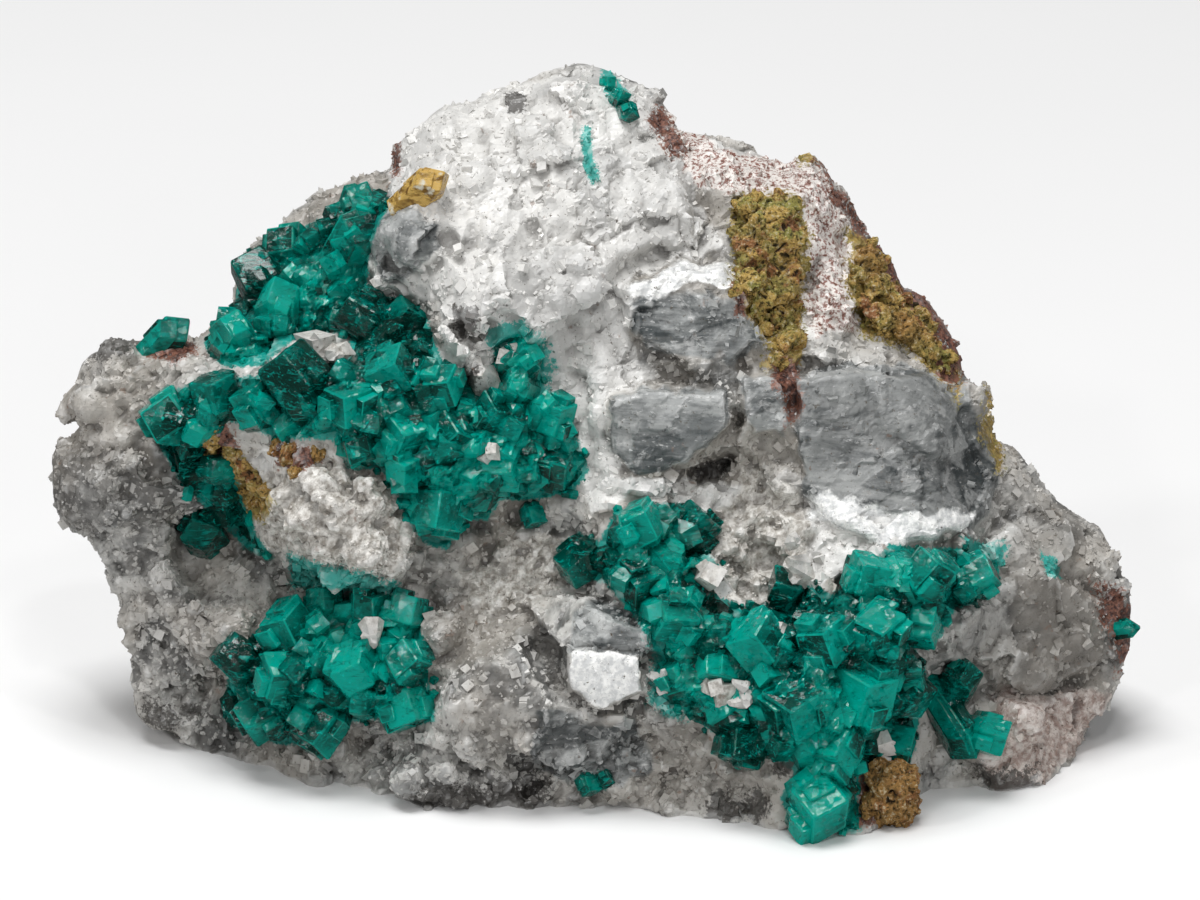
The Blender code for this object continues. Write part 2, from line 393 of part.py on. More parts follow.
def broad_form(u, v):
    """The broad height of the face, a blend of the nearest FORM points."""
    total = np.zeros(len(u))
    weights = np.full(len(u), 1e-12)
    for fu, fv, height in FORM:
        weight = np.exp(-((u - fu) ** 2 + (v - fv) ** 2) / (2 * FORM_REACH**2))
        total += weight * height
        weights += weight
    return total / weights


def front_height(u, v):
    """How far the face stands out at (u, v), before its rim is rounded."""
    points = np.stack([u, v], axis=-1)
    flat = np.stack([u, v, np.zeros(len(u))], axis=-1)
    height = broad_form(u, v)
    rubble = 1.1 * facets(flat, 5.6, 60) + 0.5 * facets(flat, 2.8, 70)
    rubble += 0.7 * lumps(flat, 4.4, 3) + 0.4 * lumps(flat, 2.1, 4) - 0.55 + 0.6 * waves(flat, 6.0, 5)
    for outline, rise, edge, calm, right, up in SLABS.values():
        share = smooth(inside_distance(points, outline) / edge + 0.5)
        middle = np.mean(outline, axis=0)
        height += share * (rise + right * (u - middle[0]) + up * (v - middle[1]))
        rubble *= 1 - calm * share
    return height + rubble


def back_height(u, v):
    """How far back the rear of the stone lies, as a height of the face's frame (negative)."""
    flat = np.stack([u, v, np.full(len(u), 50.0)], axis=-1)
    depth = np.min([level + right * u + up * (v - 20) for level, right, up in BACK_PLANES], axis=0)
    depth += 1.8 * lumps(flat, 12.0, 8) + 0.6 * lumps(flat, 5.0, 9) + 0.8 * waves(flat, 9.0, 10)
    return (v * math.sin(LEAN) - depth) / math.cos(LEAN)


def shape_stone(directions):
    """Moves the points of a unit ball, whose +Z faces out of the face, onto the stone. Returns metres."""
    outline = lowered_outline() - CENTRE
    angles = np.arctan2(outline[:, 1], outline[:, 0])
    order = np.argsort(angles)
    angles, radii = angles[order], np.hypot(*outline.T)[order]
    turn = np.arctan2(directions[:, 1], directions[:, 0])
    reach = np.interp(turn, angles, radii, period=2 * math.pi)
    share = np.arccos(np.clip(np.abs(directions[:, 2]), 0, 1)) / (math.pi / 2)
    u = CENTRE[0] + np.cos(turn) * share * reach
    v = CENTRE[1] + np.sin(turn) * share * reach
    depth = np.maximum(inside_distance(np.stack([u, v], axis=-1), lowered_outline()), 0)
    front = directions[:, 2] >= 0
    rounding = np.where(front, FRONT_ROUNDING, BACK_ROUNDING)
    rise = np.sqrt(1 - (1 - np.clip(depth / rounding, 0, 1)) ** 2)
    target = np.where(front, front_height(u, v), back_height(u, v))
    return face_to_world(u, v, RIM_LEVEL + (target - RIM_LEVEL) * rise)


def material(name):
    """A Principled material from COLOURS."""
    found = bpy.data.materials.get(name)
    if found:
        return found
    red, green, blue, roughness = COLOURS[name]
    made = bpy.data.materials.new(name)
    made.use_nodes = True
    shader = made.node_tree.nodes["Principled BSDF"]
    shader.inputs["Base Color"].default_value = (red, green, blue, 1)
    shader.inputs["Roughness"].default_value = roughness
    shader.inputs["Metallic"].default_value = 0.0
    made.diffuse_color = (red, green, blue, 1)
    return made


def new_object(name, bm, home, hidden=False):
    """An object from a bmesh, in its collection."""
    mesh = bpy.data.meshes.new(name)
    bmesh.ops.recalc_face_normals(bm, faces=bm.faces)
    bm.to_mesh(mesh)
    bm.free()
    made = bpy.data.objects.new(name, mesh)
    home.objects.link(made)
    if hidden:
        made.hide_render = True
        made.display_type = "WIRE"
    return made


def settle(obj):
    """Applies an object's modifiers and its place, so that later steps read its final mesh in the world frame."""
    bpy.context.view_layer.update()
    graph = bpy.context.evaluated_depsgraph_get()
    mesh = bpy.data.meshes.new_from_object(obj.evaluated_get(graph))
    mesh.transform(obj.matrix_world)
    obj.modifiers.clear()
    obj.data = mesh
    obj.matrix_world = Matrix.Identity(4)
    return obj


def boolean(obj, other, operation, crossing=False):
    """Joins, cuts or intersects with an object or a collection, whose own faces may be crossing each other."""
    modifier = obj.modifiers.new(operation.lower(), "BOOLEAN")
    modifier.operation = operation
    modifier.solver = "EXACT"
    modifier.use_self = crossing
    if isinstance(other, bpy.types.Collection):
        modifier.operand_type = "COLLECTION"
        modifier.collection = other
    else:
        modifier.object = other
    return settle(obj)


def thin_out(obj, triangles):
    """Collapses the least telling edges until that many triangles are left."""
    obj.data.calc_loop_triangles()
    thin = obj.modifiers.new("thin_out", "DECIMATE")
    thin.ratio = min(1.0, triangles / len(obj.data.loop_triangles))
    return settle(obj)


def keep_largest_body(obj):
    """Drops the loose crumbs that a cut leaves beside the main body."""
    bm = bmesh.new()
    bm.from_mesh(obj.data)
    left = set(bm.verts)
    bodies = []
    while left:
        stack = [left.pop()]
        body = list(stack)
        while stack:
            for edge in stack.pop().link_edges:
                for vert in edge.verts:
                    if vert in left:
                        left.discard(vert)
                        body.append(vert)
                        stack.append(vert)
        bodies.append(body)
    bodies.sort(key=len, reverse=True)
    for body in bodies[1:]:
        bmesh.ops.delete(bm, geom=body, context="VERTS")
    bm.to_mesh(obj.data)
    bm.free()
    return obj


def surface(tree, u, v):
    """Where the stone's face lies at (u, v), and which way it faces, in metres."""
    start = Vector(face_to_world(float(u), float(v), RAY_START))
    place, normal, _, _ = tree.ray_cast(start, -OUT)
    return place, normal


def crystal(name, place, axis, spin, radius, length, home):
    """A six-sided prism with three rhombic faces at its tip, its middle at place."""
    radius, length = radius * MM, length * MM
    bm = bmesh.new()
    bmesh.ops.create_cone(bm, cap_ends=True, segments=6, radius1=radius, radius2=radius, depth=length)
    top = max(bm.faces, key=lambda face: face.calc_center_median().z)
    corners = list(top.verts)
    apex = bmesh.ops.poke(bm, faces=[top])["verts"][0]
    drop = radius * TIP_STEEPNESS
    apex.co.z += drop
    for corner in corners[::2]:
        corner.co.z -= drop
    made = new_object(name, bm, home, hidden=True)
    turn = axis.to_track_quat("Z", "Y").to_matrix().to_4x4()
    made.matrix_world = Matrix.Translation(place) @ turn @ Matrix.Rotation(spin, 4, "Z")
    return made


def stand_crystal(tree, name, row, home, spin, seat=SEAT):
    """One crystal on the stone's face, leaning right and up by its own shares, and a little with the face."""
    u, v, radius, length, right, up = row
    place, normal = surface(tree, u, v)
    out = math.sqrt(max(LEAST_OUT**2, 1 - right * right - up * up))
    axis = (direction(right, up, out) + FOLLOW * normal).normalized()
    return crystal(name, place + axis * seat * length * MM, axis, spin, radius, length, home)


def scatter(random, outline, size, taken, margin):
    """Spots (u, v, size) inside an outline that keep clear of those taken, from the largest to the smallest."""
    outline = np.array(outline)
    low, high = outline.min(axis=0), outline.max(axis=0)
    spots = []
    for scale in np.linspace(LARGEST, SMALLEST, TRIES):
        spot = low + random.random(2) * (high - low)
        radius = size * scale
        if inside_distance(spot[None], outline)[0] < margin:
            continue
        if all(math.dist(spot, other[:2]) > PACKING * (radius + other[2]) for other in [*taken, *spots]):
            spots.append((spot[0], spot[1], radius))
    return spots


def fill_crystals(tree, name, crust, home):
    """Crystals between the listed ones, at a spacing, from the crust's own seed."""
    random = np.random.default_rng(crust["seed"])
    taken = [row[:3] for row in crust["crystals"]]
    spots = scatter(random, crust["outline"], crust["size"], taken, FILL_MARGIN)
    for number, (u, v, size) in enumerate(spots):
        right, up = random.normal(0, 0.4, 2)
        row = (u, v, size, size * random.uniform(2.2, 3.2), right, up)
        stand_crystal(tree, f"{name}_fill_{number}", row, home, random.random() * math.tau, FILL_SEAT)


def moved_copy(stone, distance, home):
    """A copy of the stone, moved out of the face by that many millimetres, as a cutter."""
    copy = bpy.data.objects.new("stone_cutter", stone.data.copy())
    copy.data.transform(Matrix.Translation(OUT * distance * MM))
    copy.hide_render = True
    copy.display_type = "WIRE"
    home.objects.link(copy)
    return copy


def plate(name, outline, stone, thickness, home):
    """A plate that follows the stone's face inside an outline, to that thickness."""
    bm = bmesh.new()
    start = [Vector(point) - OUT * BLOCK_DEPTH * MM for point in face_to_world(*np.array(outline, float).T, 0.0)]
    bottom = bm.faces.new([bm.verts.new(point) for point in start])
    raised = bmesh.ops.extrude_face_region(bm, geom=[bottom])["geom"]
    top = [part for part in raised if isinstance(part, bmesh.types.BMVert)]
    bmesh.ops.translate(bm, vec=OUT * BLOCK_REACH * MM, verts=top)
    made = new_object(name, bm, home)
    skin = moved_copy(stone, thickness, home)
    thin_out(skin, int(len(stone.data.polygons) * SKIN_DETAIL))
    boolean(made, skin, "INTERSECT")
    bpy.data.objects.remove(skin)
    return keep_largest_body(made)


def swollen_copy(obj, distance, home):
    """A copy of a piece, swollen by that many millimetres, as a cutter."""
    bm = bmesh.new()
    bm.from_mesh(obj.data)
    bm.normal_update()
    for vert in bm.verts:
        vert.co += vert.normal * distance * MM
    return new_object("swollen_cutter", bm, home, hidden=True)


def reaches(obj, other):
    """Whether the bounding boxes of two pieces come within the gap of each other."""
    first = np.array([vert.co[:] for vert in obj.data.vertices])
    second = np.array([vert.co[:] for vert in other.data.vertices])
    low, high = second.min(axis=0) - GAP * MM, second.max(axis=0) + GAP * MM
    return bool((first.max(axis=0) > low).all() and (first.min(axis=0) < high).all())


def is_closed(obj):
    """Cuts the piece into triangles and tells whether every edge joins two that turn the same way."""
    bm = bmesh.new()
    bm.from_mesh(obj.data)
    bmesh.ops.triangulate(bm, faces=bm.faces)
    bm.to_mesh(obj.data)
    closed = all(edge.is_manifold and edge.is_contiguous for edge in bm.edges)
    bm.free()
    return closed


def until_closed(obj, step):
    """Repeats a step, with a small change each time, until it leaves the piece closed.

    A cut that only grazes a face can leave a pinched edge, and a slightly different cut doesn't.
    """
    whole = obj.data.copy()
    for attempt in range(MOST_ATTEMPTS):
        obj.data = whole.copy()
        step(attempt)
        if is_closed(obj):
            break
    return obj


def cut_at_floor(obj, cutters):
    """Cuts the piece flat at the floor."""
    bm = bmesh.new()
    below = Matrix.Translation((0, 0, -FLOOR_BLOCK / 2 * MM))
    bmesh.ops.create_cube(bm, size=FLOOR_BLOCK * MM, matrix=below)
    block = new_object("floor_cutter", bm, cutters, hidden=True)
    boolean(obj, block, "DIFFERENCE")
    bpy.data.objects.remove(block)
    return obj


def cut_clear(obj, stone, neighbours, cutters):
    """Cuts away what lies in the stone, in a neighbour or below the floor, and drops the crumbs."""

    def cut(attempt):
        gap = GAP * (1 + GAP_GROWTH * attempt)
        skin = moved_copy(stone, gap, cutters)
        boolean(obj, skin, "DIFFERENCE")
        boolean(obj, stone, "DIFFERENCE")
        bpy.data.objects.remove(skin)
        for other in neighbours:
            if reaches(obj, other):
                skin = swollen_copy(other, gap, cutters)
                boolean(obj, skin, "DIFFERENCE", crossing=True)
                boolean(obj, other, "DIFFERENCE")
                bpy.data.objects.remove(skin)
        cut_at_floor(keep_largest_body(obj), cutters)

    return until_closed(obj, cut)


def build_matrix(parts, cutters):
    """The host rock: the shaped ball with its lumps, fused, thinned to flat faces and cut at the floor."""
    bm = bmesh.new()
    bmesh.ops.create_icosphere(bm, subdivisions=MATRIX_BALL, radius=1.0)
    directions = np.array([vert.co[:] for vert in bm.verts])
    directions /= np.linalg.norm(directions, axis=1)[:, None]
    for vert, point in zip(bm.verts, shape_stone(directions)):
        vert.co = point
    stone = new_object("matrix", bm, parts)
    bm = bmesh.new()
    bm.from_mesh(stone.data)
    tree = BVHTree.FromBMesh(bm)
    for u, v, radius, stand in NODULES:
        place, _ = surface(tree, u, v)
        matrix = Matrix.Translation(place + OUT * stand * MM)
        bmesh.ops.create_icosphere(bm, subdivisions=3, radius=radius * MM, matrix=matrix)
    bm.to_mesh(stone.data)
    bm.free()
    fuse = stone.modifiers.new("fuse", "REMESH")
    fuse.mode = "VOXEL"
    fuse.voxel_size = MATRIX_VOXEL * MM
    settle(stone)
    thin_out(stone, MATRIX_TRIANGLES)
    cut_at_floor(keep_largest_body(stone), cutters)
    stone.data.materials.clear()
    stone.data.materials.append(material("matrix"))
    return stone


def finish(obj, look, stone, neighbours, cutters):
    """Clears a piece of all that it would overlap, gives it its material and adds it to the neighbours."""
    cut_clear(obj, stone, neighbours, cutters)
    obj.data.materials.clear()
    obj.data.materials.append(material(look))
    neighbours.append(obj)


def build_crust(name, crust, stone, tree, parts, cutters):
    """A crust of dioptase: a plate along the rock, joined with its crystals."""
    home = bpy.data.collections.new(name + "_crystals")
    cutters.children.link(home)
    for number, row in enumerate(crust["crystals"]):
        stand_crystal(tree, f"{name}_{number}", row, home, spin=number * CRUST_SPIN)
    fill_crystals(tree, name, crust, home)
    made = plate(name, crust["outline"], stone, CRUST_PLATE, parts)

    def join(attempt):
        for part in home.objects:
            part.scale = [1 + CRYSTAL_GROWTH * attempt] * 3
        boolean(made, home, "UNION", crossing=True)

    until_closed(made, join)
    return until_closed(made, lambda attempt: thin_out(made, crust["triangles"] + THINNING_STEP * attempt))


def build_group(name, rows, tree, parts, cutters):
    """Crystals that stand by themselves, joined with each other."""
    home = bpy.data.collections.new(name + "_crystals")
    cutters.children.link(home)
    made = stand_crystal(tree, name, rows[0], parts, FIRST_SPIN)
    made.hide_render = False
    made.display_type = "TEXTURED"
    settle(made)
    for number, row in enumerate(rows[1:]):
        stand_crystal(tree, f"{name}_{number}", row, home, number * GROUP_SPIN)
    return boolean(made, home, "UNION", crossing=True) if rows[1:] else made


def fuse_balls(obj, balls, triangles):
    """Fuses balls (place, radius in millimetres) with a piece into one knobbly lump of that many triangles."""
    bm = bmesh.new()
    bm.from_mesh(obj.data)
    for place, radius in balls:
        bmesh.ops.create_icosphere(bm, subdivisions=2, radius=radius * MM, matrix=Matrix.Translation(place))
    bm.to_mesh(obj.data)
    bm.free()
    fuse = obj.modifiers.new("fuse", "REMESH")
    fuse.mode = "VOXEL"
    fuse.voxel_size = LIMONITE_VOXEL * MM
    settle(obj)
    return thin_out(obj, triangles)


def build_limonite_crust(name, outline, stone, tree, parts):
    """A porous crust: a thin plate along the rock, with knobs all over it."""
    made = plate(name, outline, stone, LIMONITE_PLATE, parts)
    random = np.random.default_rng(len(name))
    spots = scatter(random, outline, KNOB, [], KNOB_MARGIN)
    balls = [(surface(tree, u, v)[0] + OUT * KNOB_STAND * MM, radius) for u, v, radius in spots]
    return fuse_balls(made, balls, LIMONITE_TRIANGLES)


def main():
    for obj in list(bpy.data.objects):
        bpy.data.objects.remove(obj)
    parts = bpy.data.collections.new("dioptase_specimen")
    cutters = bpy.data.collections.new("cutters")
    bpy.context.scene.collection.children.link(parts)
    bpy.context.scene.collection.children.link(cutters)
    cutters.hide_render = True
    stone = build_matrix(parts, cutters)
    bm = bmesh.new()
    bm.from_mesh(stone.data)
    tree = BVHTree.FromBMesh(bm)
    bm.free()
    placed = []
    for name, crust in CRUSTS.items():
        finish(build_crust(name, crust, stone, tree, parts, cutters), "dioptase", stone, placed, cutters)
    for name, rows in GROUPS.items():
        finish(build_group(name, rows, tree, parts, cutters), "dioptase", stone, placed, cutters)
    quartz = build_group("stained_quartz_crystal", [STAINED_QUARTZ], tree, parts, cutters)
    finish(quartz, "stained_quartz", stone, placed, cutters)
    for name, outline in LIMONITE_CRUSTS.items():
        made = build_limonite_crust(name, outline, stone, tree, parts)
        finish(made, "limonite", stone, placed, cutters)
    lump = new_object("limonite_lump", bmesh.new(), parts)
    balls = [(Vector(face_to_world(u, v, h)), radius) for u, v, h, radius in LIMONITE_LUMPS]
    finish(fuse_balls(lump, balls, LIMONITE_TRIANGLES), "limonite", stone, placed, cutters)


main()
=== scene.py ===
"""The looks of the dioptase specimen: rock, crystal crusts, iron oxide, floor, lights and camera.

Points of the showing face are in millimetres in the face's own frame, as in the solids: u to the right, v up
the face and h out of it. face_to_world turns them into the upright frame, in metres.
"""

import math

import bmesh
import bpy
import numpy as np
from mathutils import Matrix, Vector
from mathutils.bvhtree import BVHTree


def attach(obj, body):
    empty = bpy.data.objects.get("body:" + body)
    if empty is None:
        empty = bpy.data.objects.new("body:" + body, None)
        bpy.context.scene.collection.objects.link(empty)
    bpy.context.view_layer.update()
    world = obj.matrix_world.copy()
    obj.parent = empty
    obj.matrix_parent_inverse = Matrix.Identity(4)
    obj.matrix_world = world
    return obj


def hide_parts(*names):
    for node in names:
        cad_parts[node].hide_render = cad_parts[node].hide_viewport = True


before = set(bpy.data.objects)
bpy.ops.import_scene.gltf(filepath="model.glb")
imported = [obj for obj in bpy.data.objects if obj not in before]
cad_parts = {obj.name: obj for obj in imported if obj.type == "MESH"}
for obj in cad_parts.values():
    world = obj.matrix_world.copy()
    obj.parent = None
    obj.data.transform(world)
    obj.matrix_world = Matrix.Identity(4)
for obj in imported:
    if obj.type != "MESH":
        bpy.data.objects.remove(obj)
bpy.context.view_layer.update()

MM = 0.001
FAR = 1e9

# How the face leans, the point of its foot on the floor, its middle, and how its rim is rounded.
LEAN = math.radians(20)
FOOT = (19.0, 0.2, 15.0)
CENTRE = (-3.0, 31.0)
RIM_LEVEL = -4.0
FRONT_ROUNDING = 6.5
BACK_ROUNDING = 11.0
FORM_REACH = 3.2

# The lower rim is drawn down below the floor: from which height, over what stretch and how far.
FOOT_TOP = 8.0
FOOT_BLEND = 3.0
FOOT_DROP = 6.0

# The rock's mesh: divisions of the ball, cells that fuse it, where its rear is parted off, start of rays.
ROCK_BALL = 8
ROCK_VOXEL = 0.34
PARTING_LEVEL = -5.0
RAY_START = 60.0

# Where the showing side's colours, calm faces and grains begin, and the depth over which they fade in.
COLOUR_FADE = (-7, 4)
CALM_FADE = (-6, 3)
GRAIN_FADE = (-6, 4)

# The grains on the rock: how many, the smallest and the largest.
GRAINS = [(9000, 0.10, 0.30), (2600, 0.28, 0.65)]
GRAIN_KINDS = 4
GRAIN_SINK = 0.4

# The crystals: tip, bevel and lengths for a radius of 1, how deep they sit, how they follow the rock, how
# near to each other they stand, and how far each is spun from the one before it.
TIP_STEEPNESS = 0.62
CRYSTAL_BEVEL = 0.05
CRYSTAL_LENGTHS = (1.6, 2.0, 2.5, 3.2, 4.5)
DRUSE_LENGTHS = (1.8, 2.6)
SEAT = 0.02
FILL_SEAT = -0.1
FOLLOW = 0.25
LEAST_OUT = 0.28
PACKING = 0.72
CRUST_SPIN = 1.7
GROUP_SPIN = 1.1
FIRST_SPIN = 0.4

# The crystals' faces: the largest narrow edge and how much lighter it is painted, as a painted highlight,
# their warp and their contrast.
EDGE_AREA = 0.12
EDGE_HIGHLIGHT = 0.15
FACE_WARP = 0.11
FACE_CONTRAST = 0.24

# Deeper down a crystal is painted darker, as painted shade: the cell in which depth is measured, and the
# depth that is darkest.
DEPTH_CELL = 0.4
SHADE_DEPTH = 2.4

# The skin between a crust's crystals: spacing of its points, how far its rim reaches out, how high it stands.
SKIN_STEP = 0.22
SKIN_RIM = 1.0
SKIN_RISE = 1.9

# Druse of a crust: how many to a square millimetre, smallest, largest, height, seed, distance from the rim.
DRUSE = [(0.45, 0.7, 1.3, SKIN_RISE - 1.0, 1, 0.9), (0.5, 0.2, 0.5, 0.0, 3, -0.7)]

# Iron oxide: the cells that fuse its balls. Of a crust's balls, their size, height, margin and stray.
LIMONITE_VOXEL = 0.16
STAIN_VOXEL = 0.14
LIMONITE_BALLS = [(1.1, 0.35, 0.5, 0.9), (0.55, 0.3, 0.0, 1.6)]
STAIN_BALL = (0.75, -0.25, 0.1, 0.9)

# The camera's distance and the width that it sees there, the point that it looks at, and its sensor.
CAMERA_DISTANCE = 690.0
FRAME_WIDTH = 100.0
VIEW_CENTRE = (0.0, 32.5, 5.0)
SENSOR = 36.0

# The studio, in metres and watts: place, size and power of each lamp, what they face, the floor and the sky.
LAMPS = {
    "overhead_lamp": ((-0.10, -0.06, 1.00), 0.50, 8.4),
    "front_lamp": ((0.25, -0.80, 0.40), 0.15, 1.0),
    "left_lamp": ((-0.60, -0.35, 0.50), 0.08, 0.8),
    "glint_lamp_high": ((0.08, -0.45, 0.60), 0.045, 0.45),
    "glint_lamp_left": ((-0.25, -0.60, 0.45), 0.045, 0.45),
    "glint_lamp_right": ((0.40, -0.40, 0.70), 0.045, 0.45),
}
LAMP_AIM = (0, 0.01, 0.025)
FLOOR_SIZE = 3.0
SKY_LIGHT = 0.15

# The specimen's outline as the face shows it, clockwise from the peak.
OUTLINE = [
    (-1.2, 65.1), (0.6, 64.6), (3.1, 63.3), (5.0, 62.8), (5.7, 61.4), (6.8, 59.5), (9.2, 59.0),
    (11.4, 58.5), (13.6, 57.4), (15.7, 56.6), (17.4, 57.5), (18.6, 56.7), (20.7, 54.1), (21.6, 51.8),
    (23.5, 49.6), (25.1, 45.8), (27.0, 45.2), (28.8, 42.9), (30.1, 40.7), (30.3, 38.9), (31.5, 37.5),
    (32.8, 35.6), (33.5, 33.8), (35.1, 32.2), (37.3, 29.3), (39.6, 27.4), (42.1, 25.7), (43.7, 23.9),
    (44.2, 21.7), (45.0, 19.4), (45.0, 15.5), (44.3, 13.8), (43.1, 11.2), (41.2, 8.9), (39.6, 7.0),
    (37.7, 4.8), (33.8, 3.2), (31.9, 3.7), (29.3, 4.6), (26.8, 4.2), (25.5, 2.8), (23.6, 1.3),
    (20.8, 0.2), (17.8, 0.2), (15.7, 1.6), (14.0, 0.7), (11.2, 1.1), (8.0, 1.9), (4.2, 2.6), (0.0, 2.8),
    (-2.8, 2.5), (-5.3, 2.3), (-8.3, 1.9), (-10.8, 2.3), (-14.0, 3.0), (-18.1, 3.7), (-21.3, 4.1),
    (-23.3, 4.8), (-27.7, 5.4), (-30.8, 6.0), (-33.4, 7.3), (-36.3, 8.6), (-37.9, 8.8), (-39.3, 10.2),
    (-39.5, 13.1), (-39.8, 15.9), (-40.8, 19.3), (-41.8, 22.6), (-43.2, 25.2), (-45.3, 26.1),
    (-46.0, 28.3), (-46.2, 32.1), (-45.4, 33.2), (-43.6, 33.6), (-43.9, 34.7), (-44.8, 35.8),
    (-45.1, 36.7), (-43.8, 38.3), (-43.6, 39.8), (-42.7, 40.8), (-40.8, 41.5), (-39.0, 41.7),
    (-34.3, 41.6), (-32.2, 43.5), (-30.9, 44.8), (-30.8, 46.1), (-30.3, 47.7), (-29.3, 49.2),
    (-27.5, 50.8), (-26.4, 52.5), (-24.5, 53.8), (-22.3, 54.6), (-20.3, 55.7), (-17.8, 56.1),
    (-17.5, 57.3), (-17.0, 58.2), (-15.3, 59.9), (-13.0, 61.4), (-10.4, 61.8), (-9.2, 62.8), (-6.5, 63.5),
    (-4.8, 64.4),
]

# How far the face stands out (h) at points (u, v): the broad form of the stone.
FORM = [
    (-1, 63, 0), (-8, 61, 1), (3, 61, 1), (-13, 57.5, 3), (-4, 53, 7), (3, 52, 6), (-14, 50, 8),
    (-10, 45, 10), (-2, 42.5, 9), (8, 55, 3), (14, 49, 6), (20.5, 48.5, 4), (27, 42.5, 2), (8, 43.5, 9),
    (6, 34, 10), (16.5, 36.5, 9), (25, 35, 8), (32, 32.5, 4), (25, 27.5, 10), (36.5, 23.5, 3),
    (41.5, 18.5, -1), (36.5, 13.5, 3), (41, 11.5, -3), (32, 6.5, 4), (11.5, 26.5, 8), (0, 30, 9),
    (-11, 33, 11.5), (-18, 35, 12), (-25, 37.5, 11), (-31.5, 36.5, 8), (-22.5, 50, 2), (-27.5, 46, 1),
    (-18, 47, 4), (-41.5, 39, 0), (-42.5, 31, -1), (-37, 30, 2), (-32.5, 23.5, 0), (-26, 21, 2),
    (-37.5, 18, 0), (-37.5, 11.5, -4), (-33.5, 8, -4), (-21.5, 27, 12), (-23.5, 14, 9), (-15, 15, 9),
    (-22.5, 6, 3), (-12.5, 21.5, 7), (-6, 23.5, 6), (-8.5, 13.5, 12), (0, 14, 12.5), (-10, 4, 8),
    (0, 6, 9), (8.5, 5, 9), (3.5, 23.5, 12), (8.5, 16.5, 14), (18.5, 16.5, 15), (25, 20, 13),
    (16.5, 10, 15.5), (20.5, 3, 13.5), (26.5, 8, 8), (0, 2.8, 7.9), (8, 1.9, 9.8), (-11, 2.3, 8.9),
    (-21.5, 4, 4), (-31, 6, -1.5), (34, 3, 5.5), (29.5, 4.5, 3.5), (14, 0.7, 12.5), (-18, 0, 6),
    (0, -3, 8), (14, -3, 12.5), (30, 0, 5), (15, 22.5, 10), (-28, 18, 5),
]

# The fracture planes of the rear: how deep each lies at u = 0, v = 20, and its slopes to the right and up.
BACK_PLANES = [
    (27.5, 0.02, 0.04), (38.0, 0.42, 0.02), (39.0, -0.38, 0.05), (44.0, 0.25, -0.30), (43.0, -0.22, -0.28),
    (29.0, 0.05, 0.36),
]

